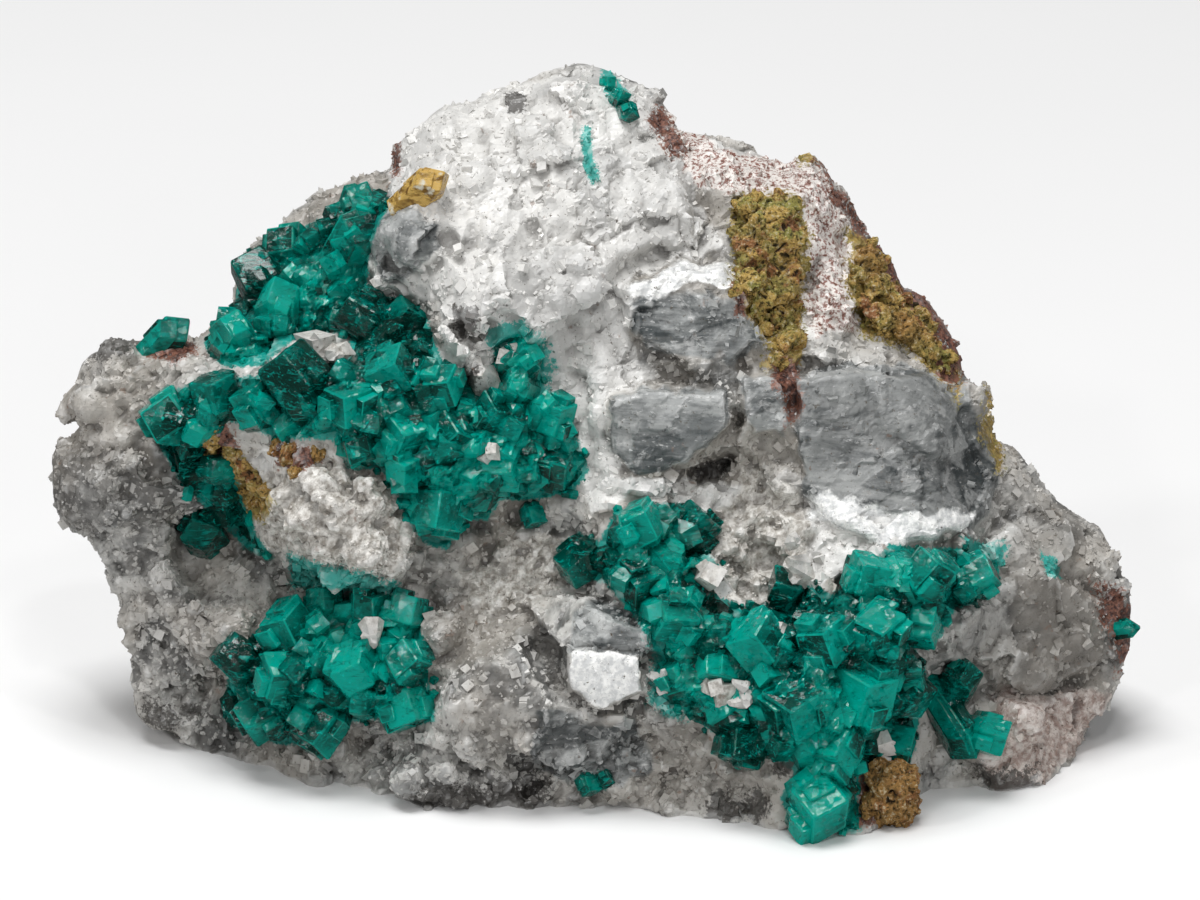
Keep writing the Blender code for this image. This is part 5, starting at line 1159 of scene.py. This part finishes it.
def add_druse(heap, tree, crust, row):
    """Small crystals all over a crust, by a row of DRUSE."""
    share, low, high, stand, seed, margin = row
    random = np.random.default_rng(crust["seed"] + seed)
    outline = np.array(crust["outline"])
    number = int(outline_area(outline) * share)
    corner, far = outline.min(axis=0), outline.max(axis=0)
    tried = corner + random.random((number * 4, 2)) * (far - corner)
    tried = tried[inside_distance(tried, outline) > margin][:number]
    places, axes, sizes = [], [], []
    for u, v in tried:
        place, normal = surface(tree, u, v)
        if place is None:
            continue
        size = random.uniform(low, high)
        axis = np.array(normal) * 0.7 + np.array(OUT) * 0.4 + random.normal(0, 0.5, 3)
        places.append(np.array(place + OUT * (stand + random.normal(0, 0.25)) * MM))
        axes.append(axis)
        sizes.append(size)
    places, axes, sizes = np.array(places), np.array(axes), np.array(sizes)
    kinds = random.integers(0, len(DRUSE_PRISMS), len(sizes))
    for kind, shape in enumerate(DRUSE_PRISMS):
        own = kinds == kind
        spins = random.uniform(0, math.tau, own.sum())
        heap.add(shape, places[own], axes[own], spins, sizes[own], random.random(own.sum()))


def crust_skin(tree, outline, seed):
    """The crust between its crystals: a skin of broken crystal faces whose rim is let into the rock.

    Returns its points, its triangles and a tone for each point.
    """
    outline = np.array(outline)
    low, high = outline.min(axis=0) - SKIN_RIM, outline.max(axis=0) + SKIN_RIM
    columns = np.arange(low[0], high[0], SKIN_STEP)
    rows = np.arange(low[1], high[1], SKIN_STEP)
    u, v = [grid.ravel() for grid in np.meshgrid(columns, rows)]
    flat = np.stack([u, v, np.full(len(u), seed * 7.0)], axis=-1)
    inside = inside_distance(flat[:, :2], outline)
    inside = inside + 0.6 * waves(flat, 2.4, seed) + 0.35 * waves(flat, 0.9, seed + 1)
    wide, wide_tone = broken_faces(flat, 3.8, seed + 2)
    middle, middle_tone = broken_faces(flat, 1.9, seed + 12)
    small, small_tone = broken_faces(flat, 0.9, seed + 22)
    rise = (SKIN_RISE + 0.3) * smooth((inside + 0.3) / 2.2) - 0.3
    rise += (0.9 * wide + 0.4 * middle + 0.08 * small) * smooth((inside + 0.5) / 1.5)
    tone = 0.4 * wide_tone + 0.35 * middle_tone + 0.25 * small_tone
    number = np.full(len(u), -1)
    points, tones = [], []
    for index in np.flatnonzero(inside > -0.4):
        place, _ = surface(tree, u[index], v[index])
        if place:
            number[index] = len(points)
            points.append(place + OUT * rise[index] * MM)
            tones.append(tone[index])
    grid = number.reshape(len(rows), len(columns))
    a, b, c, d = [part.ravel() for part in (grid[:-1, :-1], grid[:-1, 1:], grid[1:, 1:], grid[1:, :-1])]
    whole = (a >= 0) & (b >= 0) & (c >= 0) & (d >= 0)
    a, b, c, d = a[whole], b[whole], c[whole], d[whole]
    faces = np.concatenate([np.stack([a, b, c], axis=-1), np.stack([a, c, d], axis=-1)])
    return np.array(points), faces, np.array(tones)


def outline_area(outline):
    """The area inside an outline."""
    x, y = np.array(outline).T
    return 0.5 * abs(np.dot(x, np.roll(y, -1)) - np.dot(y, np.roll(x, -1)))


def depth_below(mesh):
    """How far each point lies behind the foremost one within about a millimetre, in millimetres."""
    u, v, h = world_to_face(points_of(mesh))
    column = ((u - u.min()) / DEPTH_CELL).astype(int) + 2
    row = ((v - v.min()) / DEPTH_CELL).astype(int) + 2
    tops = np.full((column.max() + 3, row.max() + 3), -FAR)
    np.maximum.at(tops, (column, row), h)
    steps = (-2, -1, 0, 1, 2)
    near = np.max([np.roll(tops, (across, along), (0, 1)) for across in steps for along in steps], axis=0)
    return near[column, row] - h


def shade_crystals(mesh):
    """Paints shade deep in the crust; thick stretches darker and thin ones lighter, partly painted shade and
    highlight.
    """
    u, v, _ = world_to_face(points_of(mesh))
    points = strayed(u, v, 1.2)
    # Painted shade: the crystals are darkened deeper down in the crust.
    tones = tones_of(mesh) + 0.14 - 0.55 * smooth(depth_below(mesh) / SHADE_DEPTH)
    # Painted shade and painted highlight over the dioptase's own deep and pale stretches.
    for outlines, change in ((DEEP_AND_SHADED, -0.4), (BRIGHT_AND_LIT, 0.25)):
        share = np.max([smooth(inside_distance(points, outline) / 1.6 + 0.5) for outline in outlines], axis=0)
        tones = tones + change * share
    mesh.attributes["tone"].data.foreach_set("value", np.clip(tones, 0, 1).astype(np.float32))


def build_crust(name, crust, tree):
    """A crust of dioptase: its own crystals, those that fill it, and druse between and around them."""
    heap = Heap()
    random = np.random.default_rng(crust["seed"])
    for number, row in enumerate(crust["crystals"]):
        add_crystal(heap, np.random.default_rng(900 + number), tree, row, number * CRUST_SPIN)
    taken = [row[:3] for row in crust["crystals"]]
    for number, (u, v, size) in enumerate(scatter(random, crust["outline"], crust["size"], taken, 0.8)):
        right, up = random.normal(0, 0.4, 2)
        row = (u, v, size, size * random.uniform(2.2, 3.2), right, up)
        spin = random.random() * math.tau
        add_crystal(heap, np.random.default_rng(700 + number), tree, row, spin, FILL_SEAT, 1)
    heap.add_shape(*crust_skin(tree, crust["outline"], crust["seed"]))
    for row in DRUSE:
        add_druse(heap, tree, crust, row)
    made = heap.mesh(name + "_crystals")
    shade_crystals(made)
    return add_object(name + "_crystals", made)


def build_inclusions(tree):
    """Blocks of white quartz that stand through the crusts."""
    heap = Heap()
    random = np.random.default_rng(17)
    for number, (u, v, radius, stand) in enumerate(INCLUSIONS):
        place, _ = surface(tree, u, v)
        spot = np.array(place + OUT * stand * MM)
        for share, shift in ((1.0, 0.0), (0.7, 0.5), (0.6, 0.6)):
            axis = np.array(OUT) + random.normal(0, 0.5, 3)
            moved = spot + random.normal(0, 1, 3) * shift * radius * MM
            shape = grain_template(number % GRAIN_KINDS)
            heap.add(shape, moved[None], axis[None], [random.random() * math.tau], [radius * share],
                     [random.random()])
    mesh = heap.mesh("quartz_inclusions")
    number = len(mesh.vertices)
    shares = {"white": 1.0, "cream": 0.5, "dark": zone_share("dark", *world_to_face(points_of(mesh)))}
    for zone in [*ZONES, "teal", "hollow"]:
        set_number(mesh, zone, np.broadcast_to(shares.get(zone, 0.0), number))
    set_number(mesh, "facet", 0.2 + 0.4 * tones_of(mesh))
    return add_object("quartz_inclusions", mesh)


def build_group(name, rows, tree):
    """Crystals that stand by themselves."""
    heap = Heap()
    for number, row in enumerate(rows):
        spin = (number - 1) * GROUP_SPIN if number else FIRST_SPIN
        add_crystal(heap, np.random.default_rng(800 + number), tree, row, spin, twins=2)
    made = heap.mesh(name + "_detail")
    shade_crystals(made)
    return add_object(name + "_detail", made)


def build_limonite(name, balls, voxel):
    """A porous mass of iron oxide: fused balls, eaten by pits."""
    bm = bmesh.new()
    for place, radius in balls:
        bmesh.ops.create_icosphere(bm, subdivisions=3, radius=radius * MM, matrix=Matrix.Translation(place))
    mesh = bpy.data.meshes.new(name)
    bm.to_mesh(mesh)
    bm.free()
    made = voxel_remesh(add_object(name, mesh), voxel)
    millimetres = points_of(made.data) / MM
    pits = smooth((waves(millimetres, 1.5, 61) - 0.15) * 3)
    height = 0.3 * facets(millimetres, 1.1, 62) + 0.16 * facets(millimetres, 0.55, 72) - 0.6 * pits
    height += 0.12 * waves(millimetres, 0.4, 82)
    moved = pushed_out(made.data, height)
    moved[:, 2] = np.maximum(moved[:, 2], 0)
    set_points(made.data, moved)
    store_hollows(made.data)
    return made


def crust_balls(random, tree, outline, row):
    """Balls all over a crust of iron oxide: size, height, margin and stray are in the row."""
    size, stand, margin, stray = row
    return [(surface(tree, u, v)[0] + OUT * stand * MM, radius)
            for u, v, radius in scatter(random, outline, size, [], margin, stray)]


# The sockets of a colour mix node: its factor, its two colours, and its result.
MIX_INPUTS = (0, 6, 7)
MIX_OUTPUT = 2


class Shader:
    """A material's nodes, added one at a time."""

    def __init__(self, name):
        self.material = bpy.data.materials.new(name)
        self.material.use_nodes = True
        self.tree = self.material.node_tree
        self.principled = self.tree.nodes["Principled BSDF"]
        coordinates = self.add("ShaderNodeTexCoord").outputs["Object"]
        scaled = self.add("ShaderNodeVectorMath", operation="SCALE")
        self.tree.links.new(coordinates, scaled.inputs[0])
        scaled.inputs["Scale"].default_value = 1 / MM
        self.millimetres = scaled.outputs[0]

    def add(self, kind, **settings):
        """A new node with those settings."""
        made = self.tree.nodes.new(kind)
        for key, value in settings.items():
            setattr(made, key, value)
        return made

    def plug(self, socket, value):
        """Links a socket to another, or sets it to a number or a colour."""
        if isinstance(value, bpy.types.NodeSocket):
            self.tree.links.new(value, socket)
        elif hasattr(socket.default_value, "__len__") and not hasattr(value, "__len__"):
            socket.default_value = (value, value, value, 1)[: len(socket.default_value)]
        elif hasattr(value, "__len__") and len(value) < len(socket.default_value):
            socket.default_value = (*value, 1)
        else:
            socket.default_value = value

    def number(self, name):
        """A number that the mesh stores for each point."""
        return self.add("ShaderNodeAttribute", attribute_name=name).outputs["Fac"]

    def stretched(self, x, y, z, turn=(0, 0, 0)):
        """The coordinates, turned and then scaled, for streaks and layers."""
        made = self.add("ShaderNodeMapping")
        self.plug(made.inputs["Vector"], self.millimetres)
        made.inputs["Rotation"].default_value = turn
        made.inputs["Scale"].default_value = (x, y, z)
        return made.outputs[0]

    def noise(self, scale, detail=4.0, roughness=0.6, distortion=0.0, vector=None):
        """Cloudy noise from 0 to 1 with that many features to a millimetre."""
        made = self.add("ShaderNodeTexNoise")
        self.plug(made.inputs["Vector"], vector or self.millimetres)
        made.inputs["Scale"].default_value = scale
        made.inputs["Detail"].default_value = detail
        made.inputs["Roughness"].default_value = roughness
        made.inputs["Distortion"].default_value = distortion
        return made.outputs["Fac"]

    def cells(self, scale):
        """A random colour for each small facet, with that many facets to a millimetre."""
        made = self.add("ShaderNodeTexVoronoi")
        self.plug(made.inputs["Vector"], self.millimetres)
        made.inputs["Scale"].default_value = scale
        return made.outputs["Color"]

    def math(self, operation, first, second):
        """A sum, difference or product of two numbers."""
        made = self.add("ShaderNodeMath", operation=operation)
        self.plug(made.inputs[0], first)
        self.plug(made.inputs[1], second)
        return made.outputs[0]

    def span(self, value, low, high, to_low=0.0, to_high=1.0):
        """Maps a range of a value smoothly onto another range."""
        made = self.add("ShaderNodeMapRange", interpolation_type="SMOOTHSTEP")
        self.plug(made.inputs["Value"], value)
        for key, number in (("From Min", low), ("From Max", high), ("To Min", to_low), ("To Max", to_high)):
            made.inputs[key].default_value = number
        return made.outputs[0]

    def mix(self, share, first, second, blend="MIX"):
        """The first colour, with that share of the second in it."""
        made = self.add("ShaderNodeMix", data_type="RGBA", blend_type=blend)
        share_socket, first_socket, second_socket = [made.inputs[number] for number in MIX_INPUTS]
        self.plug(share_socket, share)
        self.plug(first_socket, first)
        self.plug(second_socket, second)
        return made.outputs[MIX_OUTPUT]

    def ragged(self, name, noise, amount=0.7):
        """A colour zone with its edge broken up by noise."""
        stray = self.math("MULTIPLY", self.math("SUBTRACT", noise, 0.5), amount)
        moved = self.math("ADD", self.number(name), stray)
        return self.span(moved, 0.38, 0.62)

    def sparkle(self, scale, amount, normal=None):
        """A normal that tilts from one small facet to the next."""
        before = normal or self.add("ShaderNodeNewGeometry").outputs["Normal"]
        tilt = self.add("ShaderNodeVectorMath", operation="SUBTRACT")
        self.plug(tilt.inputs[0], self.cells(scale))
        tilt.inputs[1].default_value = (0.5, 0.5, 0.5)
        part = self.add("ShaderNodeVectorMath", operation="SCALE")
        self.plug(part.inputs[0], tilt.outputs[0])
        self.plug(part.inputs["Scale"], amount)
        total = self.add("ShaderNodeVectorMath", operation="ADD")
        self.plug(total.inputs[0], before)
        self.plug(total.inputs[1], part.outputs[0])
        unit = self.add("ShaderNodeVectorMath", operation="NORMALIZE")
        self.plug(unit.inputs[0], total.outputs[0])
        return unit.outputs[0]

    def bump(self, height, distance, strength, normal=None):
        """A normal that follows small heights, by a distance in millimetres."""
        made = self.add("ShaderNodeBump")
        self.plug(made.inputs["Height"], height)
        made.inputs["Distance"].default_value = distance * MM
        made.inputs["Strength"].default_value = strength
        if normal:
            self.plug(made.inputs["Normal"], normal)
        return made.outputs[0]

    def finish(self, colour, roughness, normal=None, **numbers):
        """Plugs in colour, roughness and normal, and sets plain numbers of the shader."""
        self.plug(self.principled.inputs["Base Color"], colour)
        self.plug(self.principled.inputs["Roughness"], roughness)
        if normal:
            self.plug(self.principled.inputs["Normal"], normal)
        for key, value in numbers.items():
            self.principled.inputs[key.replace("_", " ")].default_value = value
        return self.material


def rock_material():
    """White sugary quartz, grey cleavage slabs, cream nodules and iron stains, blended by the zones."""
    s = Shader("rock")
    broad = s.noise(0.09, 5, 0.6)
    patch = s.noise(0.35, 6, 0.65, 0.6)
    grain = s.noise(1.4, 5, 0.7)
    fine = s.noise(4.5, 3, 0.6)
    stain = s.noise(2.6, 5, 0.75)
    hollow = s.number("hollow")
    facet = s.number("facet")
    blend = s.math("ADD", s.math("MULTIPLY", patch, 0.55), s.math("MULTIPLY", facet, 0.45))
    grey = s.mix(s.span(blend, 0.38, 0.62), (0.12, 0.12, 0.115), (0.56, 0.55, 0.525))
    grey = s.mix(s.span(broad, 0.4, 0.62, 0.0, 0.6), grey, (0.38, 0.345, 0.30))
    white = s.mix(s.span(blend, 0.32, 0.64), (0.50, 0.495, 0.48), (0.71, 0.70, 0.675))
    white = s.mix(s.span(grain, 0.44, 0.68, 0.0, 0.3), white, (0.58, 0.58, 0.57))
    streak = s.noise(1.1, 5, 0.65, 0.4, s.stretched(0.25, 0.5, 1.4, (0.2, 0.9, 0.3)))
    layer = s.math("ADD", s.math("MULTIPLY", streak, 0.5), s.math("MULTIPLY", facet, 0.5))
    slate = s.mix(s.span(layer, 0.34, 0.66), (0.045, 0.054, 0.056), (0.35, 0.36, 0.355))
    slate = s.mix(s.span(s.noise(0.5, 6, 0.7, 0.5), 0.54, 0.66, 0.0, 0.55), slate, (0.56, 0.56, 0.55))
    band = s.noise(0.24, 5, 0.62, 0.8, s.stretched(0.4, 1.2, 1.2, (0.3, 0.8, 0.2)))
    slate = s.mix(s.span(band, 0.53, 0.64, 0.0, 0.6), slate, (0.52, 0.53, 0.52))
    slate = s.mix(s.span(band, 0.46, 0.37, 0.0, 0.6), slate, (0.035, 0.045, 0.048))
    glint = s.noise(1.6, 4, 0.7, 0.3, s.stretched(0.5, 1.0, 1.6, (0.4, 0.2, 0.6)))
    slate = s.mix(s.span(glint, 0.60, 0.68, 0.0, 0.6), slate, (0.70, 0.70, 0.69))
    cream = s.mix(s.span(grain, 0.35, 0.65), (0.30, 0.275, 0.24), (0.72, 0.70, 0.66))
    frost = s.mix(s.span(grain, 0.4, 0.6), (0.62, 0.63, 0.63), (0.90, 0.90, 0.88))
    pink = s.mix(s.span(grain, 0.38, 0.62), (0.30, 0.22, 0.19), (0.58, 0.52, 0.48))
    speckled = s.mix(s.span(stain, 0.49, 0.56), (0.74, 0.70, 0.66), (0.24, 0.10, 0.075))
    ochre = s.mix(s.span(grain, 0.36, 0.62), (0.14, 0.09, 0.02), (0.44, 0.31, 0.09))
    ochre = s.mix(s.span(stain, 0.52, 0.64), ochre, (0.30, 0.29, 0.09))
    rust = s.mix(s.span(stain, 0.42, 0.60), (0.05, 0.02, 0.018), (0.27, 0.12, 0.08))
    colour = s.mix(s.ragged("white", patch), grey, white)
    colour = s.mix(s.ragged("cream", patch), colour, cream)
    colour = s.mix(s.ragged("slate", patch, 0.5), colour, slate)
    colour = s.mix(s.ragged("pink", grain), colour, pink)
    colour = s.mix(s.ragged("speckled", grain, 1.0), colour, speckled)
    colour = s.mix(s.math("MULTIPLY", s.number("dim"), 0.5), colour, (0.36, 0.36, 0.36), "MULTIPLY")
    colour = s.mix(s.ragged("frost", grain, 0.5), colour, frost)
    colour = s.mix(s.math("MULTIPLY", s.number("shade"), 0.15), colour, (0.19, 0.18, 0.17))
    colour = s.mix(s.math("MULTIPLY", s.ragged("film", stain, 2.6), 0.9), colour, (0.0, 0.36, 0.31))
    colour = s.mix(s.ragged("teal", stain, 1.6), colour, s.mix(grain, (0.0, 0.16, 0.13), (0.0, 0.40, 0.34)))
    colour = s.mix(s.ragged("ochre", stain, 3.2), colour, ochre)
    colour = s.mix(s.ragged("rust", stain, 3.0), colour, rust)
    # Black specks of the rock, and painted shadow along the foot and in crevices.
    colour = s.mix(s.math("MULTIPLY", s.ragged("dark", stain, 3.6), 0.85), colour, (0.05, 0.045, 0.04))
    speck = s.span(s.noise(1.0, 3, 0.5), 0.66, 0.72, 0.0, 0.6)
    colour = s.mix(s.math("MULTIPLY", speck, s.span(broad, 0.5, 0.6)), colour, (0.20, 0.12, 0.08))
    # Painted shade: the rock is darkened in its hollows by their depth.
    colour = s.mix(s.span(hollow, 0.02, 0.24, 0.0, 0.7), colour, (0.30, 0.29, 0.28), "MULTIPLY")
    colour = s.mix(s.span(stain, 0.60, 0.72, 0.0, 0.3), colour, (0.40, 0.39, 0.38), "MULTIPLY")
    # Painted highlight: the rock is lightened on its ridges.
    colour = s.mix(s.span(hollow, -0.05, -0.25, 0.0, 0.25), colour, (0.92, 0.92, 0.91))
    roughness = s.span(fine, 0.3, 0.7, 0.25, 0.60)
    amount = s.span(grain, 0.46, 0.66, 0.04, 0.5)
    normal = s.bump(fine, 0.05, 0.4, s.sparkle(2.0, amount))
    return s.finish(colour, roughness, normal, Specular_IOR_Level=0.6)


def dioptase_material():
    """Clear blue-green crystal: glassy faces, deep emerald where it is thick, paler where it is grainy."""
    s = Shader("dioptase")
    tone = s.number("tone")
    cloud = s.noise(0.4, 4, 0.6, 0.5)
    grain = s.noise(2.2, 4, 0.65)
    fine = s.noise(5.0, 3, 0.6)
    crack = s.noise(1.5, 5, 0.7, 0.8, s.stretched(0.4, 1.0, 1.5, (0.5, 0.3, 0.9)))
    shade = s.math("ADD", s.math("MULTIPLY", tone, 0.72), s.math("MULTIPLY", s.cells(0.75), 0.28))
    colour = s.mix(s.span(shade, 0.12, 0.86), (0.0, 0.035, 0.025), (0.0, 0.49, 0.385))
    colour = s.mix(s.span(cloud, 0.50, 0.70, 0.0, 0.4), colour, (0.0, 0.46, 0.38))
    colour = s.mix(s.span(crack, 0.52, 0.66, 0.0, 0.6), colour, (0.0, 0.52, 0.43))
    colour = s.mix(s.span(crack, 0.46, 0.34, 0.0, 0.6), colour, (0.0, 0.055, 0.04))
    colour = s.mix(s.span(grain, 0.60, 0.70, 0.0, 0.7), colour, (0.0, 0.74, 0.63))
    roughness = s.span(fine, 0.35, 0.7, 0.03, 0.14)
    facet = s.sparkle(2.4, s.span(cloud, 0.44, 0.58, 0.06, 0.8), s.sparkle(0.75, 0.25))
    normal = s.bump(crack, 0.08, 0.5, facet)
    return s.finish(colour, roughness, normal, Transmission_Weight=0.4, IOR=1.65, Specular_IOR_Level=0.12)


def limonite_material():
    """Earthy iron oxide in ochre, olive and rust, with painted shade nearly black in its pits."""
    s = Shader("limonite")
    patch = s.noise(0.6, 5, 0.65, 0.4)
    grain = s.noise(2.6, 5, 0.7)
    colour = s.mix(s.span(patch, 0.42, 0.56), (0.28, 0.26, 0.07), (0.50, 0.34, 0.10))
    colour = s.mix(s.span(s.noise(0.45, 4, 0.6, 0.3), 0.54, 0.64, 0.0, 0.85), colour, (0.25, 0.09, 0.045))
    ember = s.mix(patch, (0.16, 0.05, 0.03), (0.42, 0.22, 0.06))
    colour = s.mix(s.math("MULTIPLY", s.number("ember"), 0.75), colour, ember)
    colour = s.mix(s.span(grain, 0.54, 0.66, 0.0, 0.7), colour, (0.66, 0.60, 0.42))
    colour = s.mix(s.span(grain, 0.49, 0.38, 0.0, 0.9), colour, (0.045, 0.035, 0.015))
    # Painted shade: the pits are darkened nearly to black by their depth.
    colour = s.mix(s.span(s.number("hollow"), 0.02, 0.16, 0.0, 0.92), colour, (0.02, 0.016, 0.01))
    return s.finish(colour, 0.85, s.bump(grain, 0.3, 0.9), Specular_IOR_Level=0.25)


def stained_quartz_material():
    """Quartz stained yellow-brown, with darker bands and a frosted edge."""
    s = Shader("stained_quartz")
    band = s.noise(0.9, 4, 0.6, 0.4, s.stretched(0.6, 1.6, 1.6, (0.4, 0.6, 0.2)))
    colour = s.mix(s.span(band, 0.36, 0.54), (0.20, 0.10, 0.015), (0.74, 0.48, 0.12))
    colour = s.mix(s.span(s.noise(0.7, 3), 0.56, 0.66), colour, (0.80, 0.76, 0.62))
    return s.finish(colour, s.span(band, 0.3, 0.7, 0.12, 0.4), s.bump(s.noise(2.0, 4), 0.15, 0.6),
                    Transmission_Weight=0.3, IOR=1.55)


def floor_material():
    """Plain matt paper, near white."""
    s = Shader("floor_paper")
    colour = s.mix(s.noise(0.02, 3), (0.86, 0.86, 0.86), (0.88, 0.88, 0.88))
    return s.finish(colour, 0.9, Specular_IOR_Level=0.1)


def dress(piece, material, slot, *nodes):
    """Gives a piece its material, hangs it under the root body, and hides the solids that it stands for."""
    piece.data.materials.clear()
    piece.data.materials.append(material)
    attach(piece, "root")
    if nodes:
        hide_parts(*nodes)


def build_camera():
    """A long lens at the photograph's angle: straight on, and as far above level as the face leans back."""
    target = Vector(face_to_world(*VIEW_CENTRE))
    camera = add_object("camera", bpy.data.cameras.new("camera"))
    camera.data.sensor_width = SENSOR
    camera.data.lens = SENSOR * CAMERA_DISTANCE / FRAME_WIDTH
    camera.data.clip_start = 0.05
    camera.location = target + OUT * CAMERA_DISTANCE * MM
    camera.rotation_euler = OUT.to_track_quat("Z", "Y").to_euler()
    bpy.context.scene.camera = camera


def add_light(name, place, size, power):
    """A soft square lamp that faces the specimen's middle."""
    lamp = bpy.data.lights.new(name, "AREA")
    lamp.size = size
    lamp.energy = power
    made = add_object(name, lamp)
    made.location = place
    made.rotation_euler = (Vector(place) - Vector(LAMP_AIM)).to_track_quat("Z", "Y").to_euler()


def build_studio():
    """A pale floor, soft light from above and weaker light from the sides."""
    bm = bmesh.new()
    bmesh.ops.create_grid(bm, x_segments=1, y_segments=1, size=FLOOR_SIZE)
    mesh = bpy.data.meshes.new("floor")
    bm.to_mesh(mesh)
    bm.free()
    floor = add_object("floor", mesh)
    mesh.materials.append(floor_material())
    floor.visible_glossy = False
    for name, (place, size, power) in LAMPS.items():
        add_light(name, place, size, power)
    world = bpy.data.worlds.new("studio")
    world.use_nodes = True
    world.node_tree.nodes["Background"].inputs["Color"].default_value = (1, 1, 1, 1)
    world.node_tree.nodes["Background"].inputs["Strength"].default_value = SKY_LIGHT
    bpy.context.scene.world = world
    bpy.context.scene.view_settings.view_transform = "Standard"


def split_rear(rock):
    """Parts the rock behind its widest section from its face, as a piece of its own."""
    rear = add_object("rock_rear", rock.data.copy())
    for piece, keep_front in ((rock, True), (rear, False)):
        bm = bmesh.new()
        bm.from_mesh(piece.data)
        h = {vert: (vert.co - PARTING).dot(OUT) for vert in bm.verts}
        gone = [face for face in bm.faces if (min(h[vert] for vert in face.verts) >= 0) != keep_front]
        bmesh.ops.delete(bm, geom=gone, context="FACES")
        bm.to_mesh(piece.data)
        bm.free()
    return rear


def build_stone():
    """The host rock, in front and behind, with its grains. Returns a search tree of it and its material."""
    rock = build_rock()
    store_hollows(rock.data)
    paint(rock.data)
    stone = rock_material()
    tree = tree_of(rock.data)
    grain_pieces = build_grains(rock)
    dress(split_rear(rock), stone, "matrix", "matrix")
    dress(rock, stone, "matrix", "matrix")
    for grains in grain_pieces:
        paint(grains.data)
        set_number(grains.data, "hollow", np.zeros(len(grains.data.vertices)))
        # The grains take the lighter facet tones: painted glints that stand out from the rock around them.
        set_number(grains.data, "facet", 0.45 + 0.5 * tones_of(grains.data))
        dress(grains, stone, "matrix")
    return tree, stone


def build_crystals(tree):
    """The crusts, groups and single crystals of dioptase, and the stained quartz."""
    green = dioptase_material()
    for name, crust in CRUSTS.items():
        dress(build_crust(name, crust, tree), green, "dioptase", name)
    for name, rows in GROUPS.items():
        dress(build_group(name, rows, tree), green, "dioptase", name)
    quartz = build_group("stained_quartz_crystal", [STAINED_QUARTZ], tree)
    dress(quartz, stained_quartz_material(), "stained_quartz", "stained_quartz_crystal")


def build_oxide(tree):
    """The iron oxide: two crusts, two small stains and the lump at the foot."""
    brown = limonite_material()
    for name, outline in LIMONITE_CRUSTS.items():
        balls = []
        for part, row in enumerate(LIMONITE_BALLS):
            balls += crust_balls(np.random.default_rng(len(name) + part), tree, outline, row)
        piece = build_limonite(name + "_porous", balls, LIMONITE_VOXEL)
        ember = EMBERS[name] + 0.7 * waves(points_of(piece.data) / MM, 3.2, 90)
        set_number(piece.data, "ember", np.clip(ember, 0, 1))
        dress(piece, brown, "limonite", name)
    for number, (outline, ember) in enumerate(STAIN_CRUSTS):
        balls = crust_balls(np.random.default_rng(60 + number), tree, outline, STAIN_BALL)
        piece = build_limonite(f"stain_crust_{number + 1}", balls, STAIN_VOXEL)
        set_number(piece.data, "ember", np.full(len(piece.data.vertices), ember))
        dress(piece, brown, "limonite")
    balls = [(Vector(face_to_world(u, v, h)), radius) for u, v, h, radius in LIMONITE_LUMP]
    lump = build_limonite("limonite_lump_porous", balls, LIMONITE_VOXEL)
    set_number(lump.data, "ember", np.ones(len(lump.data.vertices)))
    dress(lump, brown, "limonite", "limonite_lump")


build_camera()
build_studio()
search_tree, stone_look = build_stone()
dress(build_inclusions(search_tree), stone_look, "matrix")
build_crystals(search_tree)
build_oxide(search_tree)
